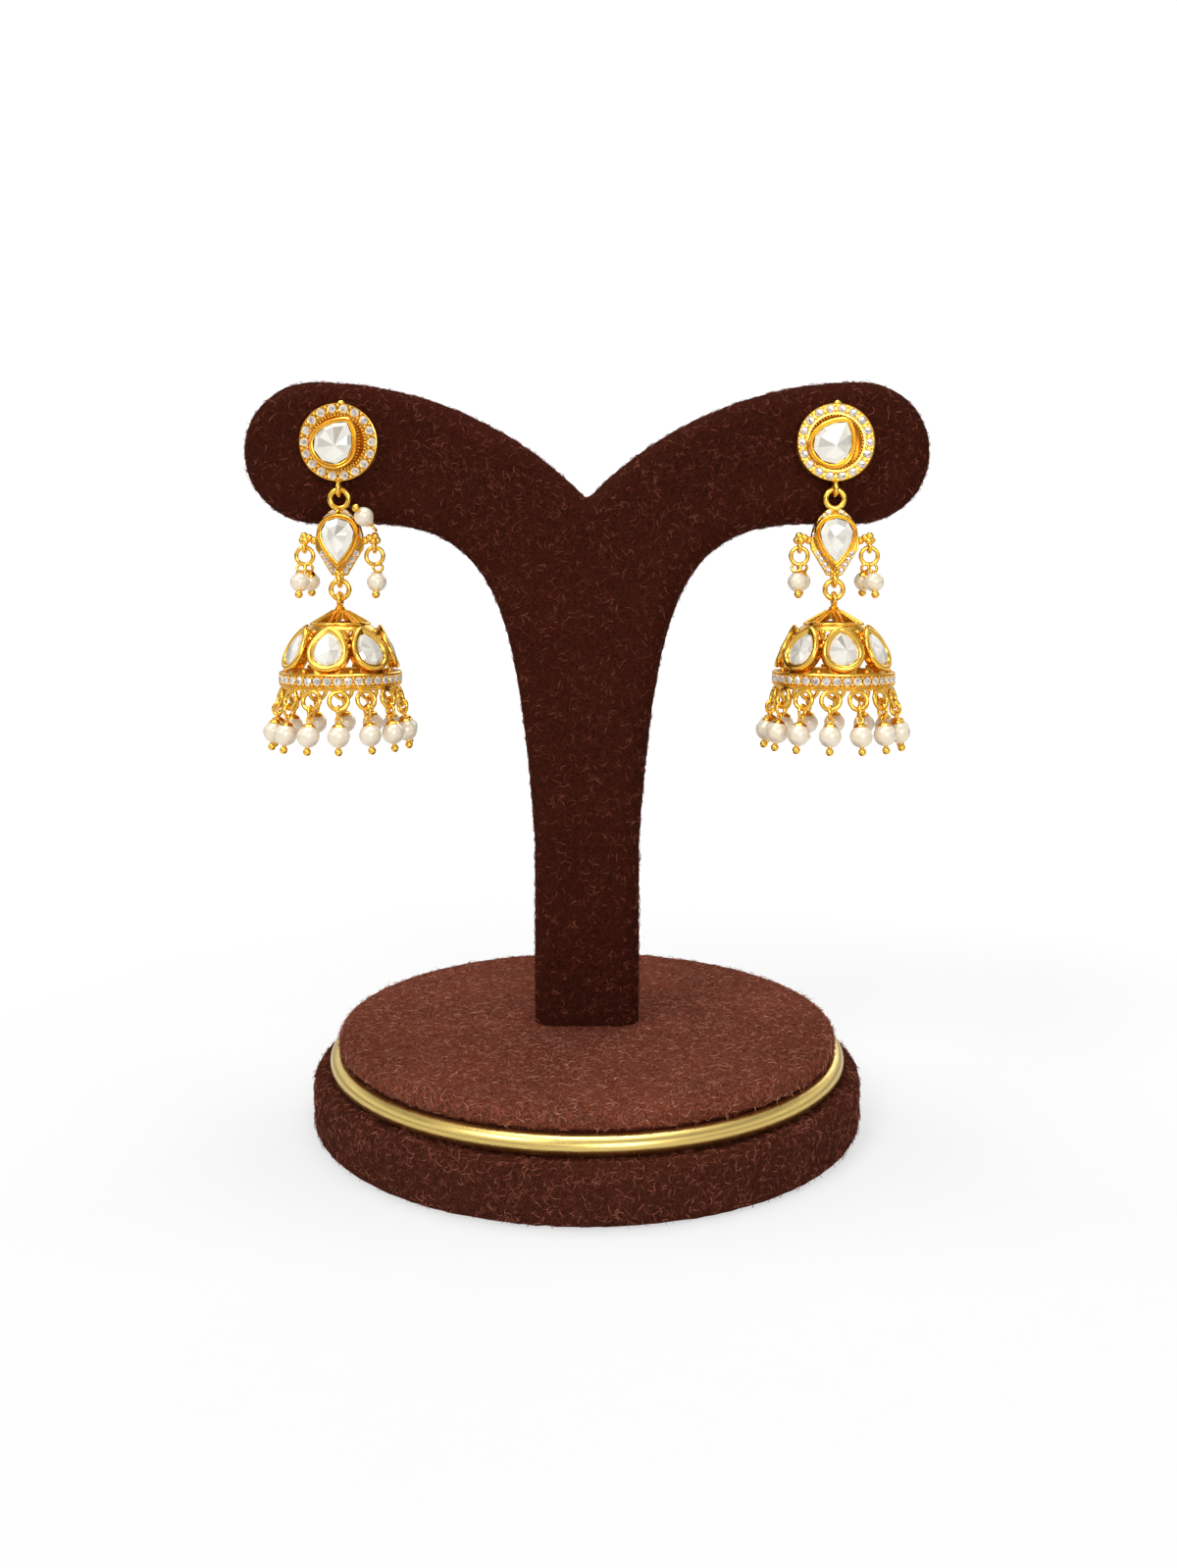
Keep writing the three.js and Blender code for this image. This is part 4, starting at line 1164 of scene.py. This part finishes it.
def bell_shell():
    """The pierced cone of the cap and the pierced wall behind the bezels, as one shell."""
    thick = 0.55
    shell = turned("shell", [
        (0.4, CAP_TOP - thick), (2.6, -3.1 - thick * 0.8), (CAP_RADIUS - 0.3, CAP_BASE - thick),
        (SHOULDER_RADIUS - thick, SHOULDER_BASE - thick), (6.85 - thick, -8.0), (WALL_RADIUS - thick, BAND_TOP - 0.1),
        (WALL_RADIUS, BAND_TOP - 0.1), (6.95, -8.0), (6.0, -6.0), (SHOULDER_RADIUS, SHOULDER_BASE),
        (4.85, -4.2), (CAP_RADIUS - 0.1, CAP_BASE), (2.6, -2.86), (COLLAR_RADIUS, CAP_TOP), (0.4, CAP_TOP),
        (0.4, CAP_TOP - thick),
    ], 84)
    cutters = []
    for i in range(BELL_STONES):
        gap = Matrix.Rotation((i + 0.5) * STONE_STEP, 4, "Z")
        cap_cut = prism([(-1.2, -3.8), (1.2, -3.8), (0.16, -1.75), (-0.16, -1.75)], 4)
        cutters.append(placed(cap_cut, gap @ shift(0, 0, CAP_BASE - 2)))
        low_cut = prism([(-1.7, 0), (1.7, 0), (0.25, 3.3), (-0.25, 3.3)], 6)
        cutters.append(placed(low_cut, gap @ shift(0, -4.8, BAND_TOP + 0.05) @ FACING))
        high_cut = prism([(-0.25, -1.5), (0.25, -1.5), (0.9, 0), (-0.9, 0)], 6)
        cutters.append(placed(high_cut, gap @ shift(0, -4.0, SHOULDER_BASE - 0.35) @ FACING))
    cutter = joined("cutters", cutters)
    finished_with(shell, "BOOLEAN", object=cutter, operation="DIFFERENCE", solver="EXACT")
    bpy.data.objects.remove(cutter)
    return shell


def bell_crown():
    """The collar with its stacked rings, the ribs of the cap and the wire round its foot."""
    collar = turned("collar", [
        (0, -0.85), (0.42, -0.85), (0.5, -1.15), (0.72, -1.25), (0.82, -1.38), (0.72, -1.5), (0.92, -1.56),
        (1.08, -1.68), (0.95, -1.8), (1.22, -1.86), (1.36, -2.0), (1.2, -2.16), (0, -2.16)], 28)
    bail = wire_ring("bail", 2.7, 0.75, sideways=True, around=30, section=12)
    placed(bail, shift(0, 0, -0.12))
    rim = add("torus", "rim", major_radius=CAP_RADIUS - 0.1, minor_radius=0.27, major_segments=84,
              minor_segments=10, location=(0, 0, CAP_BASE))
    ribs = []
    for i in range(BELL_STONES):
        for side in (-1, 1):
            foot = Vector((side * 1.38, -4.25, CAP_BASE + 0.12))
            head = Vector((side * 0.3, -1.15, CAP_TOP + 0.1))
            run = head - foot
            rib = add("cylinder", "rib", vertices=8, radius=0.19, depth=run.length)
            placed(rib, Matrix.Rotation((i + 0.5) * STONE_STEP, 4, "Z") @ Matrix.Translation((foot + head) / 2)
                   @ run.to_track_quat("Z", "Y").to_matrix().to_4x4())
            ribs.append(rib)
    return [toned_metal(part) for part in (collar, bail, rim, joined("ribs", ribs))]


def bell_band():
    """The band with its row of small stones between two thin rims."""
    settings = earring_settings()
    radius, stone = BELL_RADIUS, settings.small_stone * MM
    middle = (BAND_TOP + BAND_BASE) / 2
    half = (BAND_TOP - BAND_BASE) / 2
    band = turned("band", [
        (radius - 1, middle - half), (radius - 0.1, middle - half), (radius + 0.02, middle - half + 0.12),
        (radius + 0.02, middle - half + 0.24), (radius - 0.1, middle - half + 0.34), (radius - 0.26, middle - half + 0.38),
        (radius - 0.26, middle + half - 0.38), (radius - 0.1, middle + half - 0.34), (radius + 0.02, middle + half - 0.24),
        (radius + 0.02, middle + half - 0.12), (radius - 0.1, middle + half), (radius - 1, middle + half),
        (radius - 1, middle - half)], 126)
    # Painted shade on the inner faces of the band's channel between its rims.
    toned_metal(band, lambda face: 0.4 if math.hypot(*face.center[:2]) < radius - 0.2 and face.normal.z ** 2 < 0.2
                else 0.0)
    upright = turn(90, "Y")
    places = [place @ upright for place in ring_places(settings.band_stones, radius - 0.28, middle)]
    stones = with_stones(places, stone, 51)
    seats = wire_ring("seat", stone + 0.16, 0.14, around=14, section=5)
    placed(seats, turn(-90, "X"))
    seats = at_each(seats, [place @ shift(0, 0, 0.12) for place in places])
    step = math.pi / settings.band_stones
    prongs = grains([place @ upright for offset in (0.5, -0.5)
                     for place in ring_places(settings.band_stones, radius - 0.1, middle + offset, step)], 0.48)
    return [band, stones] + [toned_metal(part) for part in (prongs, seats)]


def bezel_places():
    """Where each bezel sits against the sloping wall."""
    tilt = math.atan2(WALL_RADIUS - SHOULDER_RADIUS, SHOULDER_BASE - BAND_TOP)
    middle = (SHOULDER_BASE + BAND_TOP) / 2
    wall = (SHOULDER_RADIUS + WALL_RADIUS) / 2 * math.cos(DROP_STEP / 2)
    out = shift(0, 0.25 - wall, middle) @ Matrix.Rotation(-tilt, 4, "X") @ FACING
    return [Matrix.Rotation(i * STONE_STEP, 4, "Z") @ out for i in range(BELL_STONES)]


# How the seven bezels of the bell differ: sharpness, lean to one side and turn
BEZEL_LOOKS = ((0.42, 0.03, 4), (0.5, -0.14, 6), (0.4, 0.1, -5), (0.44, -0.08, 3), (0.36, 0.05, -3),
               (0.48, -0.06, 5), (0.5, 0.14, -6))


class JHUMKA_OT_bells(bpy.types.Operator):
    """Build the bells: pierced dome, seven bezels with flat stones, and the band of small stones."""

    bl_idname = "jhumka.bells"
    bl_label = "Bells"

    def execute(self, context):
        places = bezel_places()
        cups, glasses = [], []
        for index, (point, lean, angle) in enumerate(BEZEL_LOOKS):
            outline = drop_outline(6.4, 7.4, point, 56, lean)
            place = places[index] @ turn(angle, "Z")
            cups.append(placed(bezel(outline, BROAD_RIM), place))
            inner = inset_outline(outline, rim_width(BROAD_RIM) - 0.04, 14)
            glass = cut_stone("glass", inner, 0.8, 60 + index, dark_facets=(13,) if index in (0, 3) else ())
            glasses.append(placed(glass, place @ shift(0, 0, 0.85)))
        # The granules behind the bezels and the shell behind them get a painted shade (tones 0.15 and 0.25).
        backs = [toned_metal(placed(grain("granule", 0.9), Matrix.Rotation((i + 0.5) * STONE_STEP, 4, "Z")
                                    @ shift(x, -y, z)), 0.15)
                 for i in range(BELL_STONES) for x, y, z in ((0, 5.9, -5.0), (0.5, 6.3, -6.0), (-0.5, 6.3, -6.0),
                                                             (0, 6.8, -7.1), (0, 8.3, -10.9))]
        shell = toned_metal(bell_shell(), 0.25, 30)
        bell = joined("bell", [shell, *cups, *backs, *bell_crown(), *bell_band()])
        for side in SIDES:
            place = Matrix.Translation(pivot(f"{side}_bell_swing")) @ turn(BELL_TURNS[side], "Z")
            body = f"{side}_bell"
            settled(copy_of(bell, "b"), f"{side}_bell_with_pave", place, body, "gold", f"{side}_bell_dome")
            for number, glass in enumerate(glasses, 1):
                settled(copy_of(glass, "g"), f"{side}_bell_kundan_{number}", place, body, "kundan",
                        f"{side}_bell_stone_{number}")
        for piece in (bell, *glasses):
            bpy.data.objects.remove(piece)
        return {"FINISHED"}


class JHUMKA_OT_fringes(bpy.types.Operator):
    """Build the fringes of rings, links and pearls under the bells."""

    bl_idname = "jhumka.fringes"
    bl_label = "Fringes"

    def execute(self, context):
        hoop_radius, ring_top, tilt, splay = BELL_RADIUS - 0.5, -13.37, 14, 10
        outer, wire = 3.5, 0.72
        lowest = outer - wire / 2
        drop = pearl_on_pin(earring_settings().fringe_pearl * MM, -2.0, 1.25, 0.34)
        link = toned_metal(wire_ring("link", 1.9, 0.5, sideways=True, around=26, section=10, oval=1.25))
        placed(link, shift(0, 0, -0.33))
        pendant = joined("pendant", [link, drop])
        ring = toned_metal(wire_ring("ring", outer, wire, around=30, section=12))
        placed(ring, shift(0, 0, -outer / 2))
        for side in SIDES:
            chance = random.Random(70 + len(side))
            hoop = turned("hoop", [(hoop_radius - 0.4, BAND_BASE - 0.4), (hoop_radius + 0.2, BAND_BASE - 0.4),
                                   (hoop_radius + 0.3, BAND_BASE - 0.25), (hoop_radius + 0.3, BAND_BASE - 0.05),
                                   (hoop_radius - 0.4, BAND_BASE - 0.05), (hoop_radius - 0.4, BAND_BASE - 0.4)], 84)
            # The hoop under the band gets a painted shade (tone 0.2).
            parts = [toned_metal(hoop, 0.2)]
            for i in range(DROPS):
                here = Matrix.Rotation((i + 0.5) * DROP_STEP, 4, "Z")
                parts.append(placed(copy_of(ring, "r"), here @ shift(0, -hoop_radius, ring_top) @ turn(-tilt, "X")))
                foot = Vector((0, -hoop_radius - lowest * math.sin(math.radians(tilt)),
                               ring_top - lowest * math.cos(math.radians(tilt))))
                swing = turn(-splay + chance.uniform(-3, 3), "X") @ turn(chance.uniform(-3.5, 3.5), "Y") \
                    @ turn(chance.uniform(-14, 14), "Z")
                parts.append(placed(copy_of(pendant, "p"), here @ Matrix.Translation(foot) @ swing))
            fringe = joined("fringe", parts)
            place = Matrix.Translation(pivot(f"{side}_bell_swing")) @ turn(BELL_TURNS[side], "Z")
            settled(fringe, f"{side}_pearl_fringe", place, f"{side}_bell", "pearl", f"{side}_bell_fringe")
        for piece in (ring, pendant):
            bpy.data.objects.remove(piece)
        return {"FINISHED"}


# How brightly the floor shows round the stand, where the lamps light it too
FLOOR_GLOW = 0.6


class JHUMKA_OT_stage(bpy.types.Operator):
    """Build the floor, the studio light and the camera."""

    bl_idname = "jhumka.stage"
    bl_label = "Stage"

    def execute(self, context):
        scene = context.scene
        scene.view_settings.view_transform = "Standard"
        floor = add("plane", "stage_floor", size=6, location=(0, 1.2, 0))
        paper, tree, shader = new_material("stage_paper")
        seen = node(tree, "ShaderNodeLightPath").outputs["Is Camera Ray"]
        grainy = between(tree, noise(tree, millimetres(tree), 0.2, 2), 0.0, 1.0, 0.99, 1.01)
        albedo = math_node(tree, "MULTIPLY", grainy, math_node(tree, "MULTIPLY_ADD", seen, -0.34, 0.66))
        colour = node(tree, "ShaderNodeCombineColor", Red=albedo, Green=albedo, Blue=albedo).outputs[0]
        tree.links.new(colour, shader.inputs["Base Color"])
        shader.inputs["Roughness"].default_value = 0.9
        shader.inputs["Emission Color"].default_value = (1, 1, 1, 1)
        place = node(tree, "ShaderNodeTexCoord").outputs["Object"]
        away = node(tree, "ShaderNodeVectorMath", {"operation": "LENGTH"}, i0=place).outputs["Value"]
        glow = between(tree, away, 0.08, 0.5, FLOOR_GLOW, 1.0)
        tree.links.new(math_node(tree, "MULTIPLY_ADD", seen, math_node(tree, "SUBTRACT", glow, 0.12), 0.12),
                       shader.inputs["Emission Strength"])
        floor.data.materials.append(paper)
        self.light("key_light", (-0.5, -0.55, 0.8), 0.35, 3.4)
        self.light("front_light", (0.22, -0.9, 0.3), 0.3, 2.6)
        self.light("top_light", (0.0, 0.1, 0.9), 0.5, 5.0)
        self.light("rim_light", (0.3, 0.8, 0.5), 0.5, 0.8)
        world = bpy.data.worlds.new("studio")
        scene.world = world
        world.use_nodes = True
        nodes = world.node_tree
        nodes.nodes.clear()
        place = node(nodes, "ShaderNodeTexCoord").outputs["Generated"]
        up = node(nodes, "ShaderNodeSeparateXYZ", Vector=place).outputs["Z"]
        height = node(nodes, "ShaderNodeMapRange", Value=up, From_Min=-1.0, From_Max=1.0).outputs[0]
        ramp = node(nodes, "ShaderNodeValToRGB", Fac=height)
        for index, (spot, value) in enumerate(((0.0, 0.5), (0.46, 0.6), (0.51, 0.3), (0.57, 0.3),
                                                 (0.66, 1.2), (0.84, 0.25), (1.0, 1.1))):
            stop = ramp.color_ramp.elements[index] if index < 2 else ramp.color_ramp.elements.new(spot)
            stop.position = spot
            stop.color = (value, value, value, 1)
        plain = node(nodes, "ShaderNodeBackground", Color=(1, 1, 1, 1), Strength=0.25)
        white = node(nodes, "ShaderNodeBackground", Color=(1, 1, 1, 1), Strength=1.05)
        mirrored = node(nodes, "ShaderNodeBackground", Color=ramp.outputs[0], Strength=1.0)
        path = node(nodes, "ShaderNodeLightPath")
        first = node(nodes, "ShaderNodeMixShader", i0=path.outputs["Is Glossy Ray"], i1=plain.outputs[0],
                     i2=mirrored.outputs[0])
        last = node(nodes, "ShaderNodeMixShader", i0=path.outputs["Is Camera Ray"], i1=first.outputs[0],
                    i2=white.outputs[0])
        node(nodes, "ShaderNodeOutputWorld", Surface=last.outputs[0])
        self.camera(scene)
        return {"FINISHED"}

    def light(self, name, place, size, power):
        lamp = bpy.data.lights.new(name, "AREA")
        lamp.shape = "SQUARE"
        lamp.size = size
        lamp.energy = power
        made = bpy.data.objects.new(name, lamp)
        made.location = place
        aim = Vector((0, 0, 0.06)) - Vector(place)
        made.rotation_euler = aim.to_track_quat("-Z", "Y").to_euler()
        bpy.context.collection.objects.link(made)

    def camera(self, scene):
        """The photograph's view: 1200 by 1599 pixels, its optical axis above the middle of the picture."""
        width, height = 1200, 1599
        focal, axis_column, axis_row = 1400, 598.5, 662.8
        pitch, distance, eye_height = 3.0, 0.2195, 0.0856
        data = bpy.data.cameras.new("photo_camera")
        data.sensor_width = 36
        data.lens = data.sensor_width * focal / height
        data.shift_x = (width / 2 - axis_column) / height
        data.shift_y = (axis_row - height / 2) / height
        data.clip_start, data.clip_end = 0.01, 20
        camera = bpy.data.objects.new("photo_camera", data)
        camera.location = (0, -distance, eye_height)
        camera.rotation_euler = (math.radians(90 - pitch), 0, 0)
        bpy.context.collection.objects.link(camera)
        scene.camera = camera


BUILDERS = (JHUMKA_OT_stage, JHUMKA_OT_base, JHUMKA_OT_arms, JHUMKA_OT_studs, JHUMKA_OT_connectors,
            JHUMKA_OT_side_drops, JHUMKA_OT_bells, JHUMKA_OT_fringes)


class JHUMKA_PT_panel(bpy.types.Panel):
    """Lists the build steps with their sizes and colours."""

    bl_idname = "JHUMKA_PT_panel"
    bl_label = "Jhumka earrings"
    bl_space_type = "VIEW_3D"
    bl_region_type = "UI"
    bl_category = "Jhumka"

    def draw(self, context):
        for settings in (context.scene.jhumka_stand, context.scene.jhumka_earrings):
            for name in settings.__annotations__:
                self.layout.prop(settings, name)
        for builder in BUILDERS:
            self.layout.operator(builder.bl_idname)


CLASSES = (StandSettings, EarringSettings, *BUILDERS, JHUMKA_PT_panel)


def register():
    for each in CLASSES:
        bpy.utils.register_class(each)
    bpy.types.Scene.jhumka_stand = PointerProperty(type=StandSettings)
    bpy.types.Scene.jhumka_earrings = PointerProperty(type=EarringSettings)


def unregister():
    del bpy.types.Scene.jhumka_earrings
    del bpy.types.Scene.jhumka_stand
    for each in reversed(CLASSES):
        bpy.utils.unregister_class(each)


def main():
    register()
    for builder in BUILDERS:
        family, name = builder.bl_idname.split(".")
        getattr(getattr(bpy.ops, family), name)()


if __name__ == "__main__":
    main()
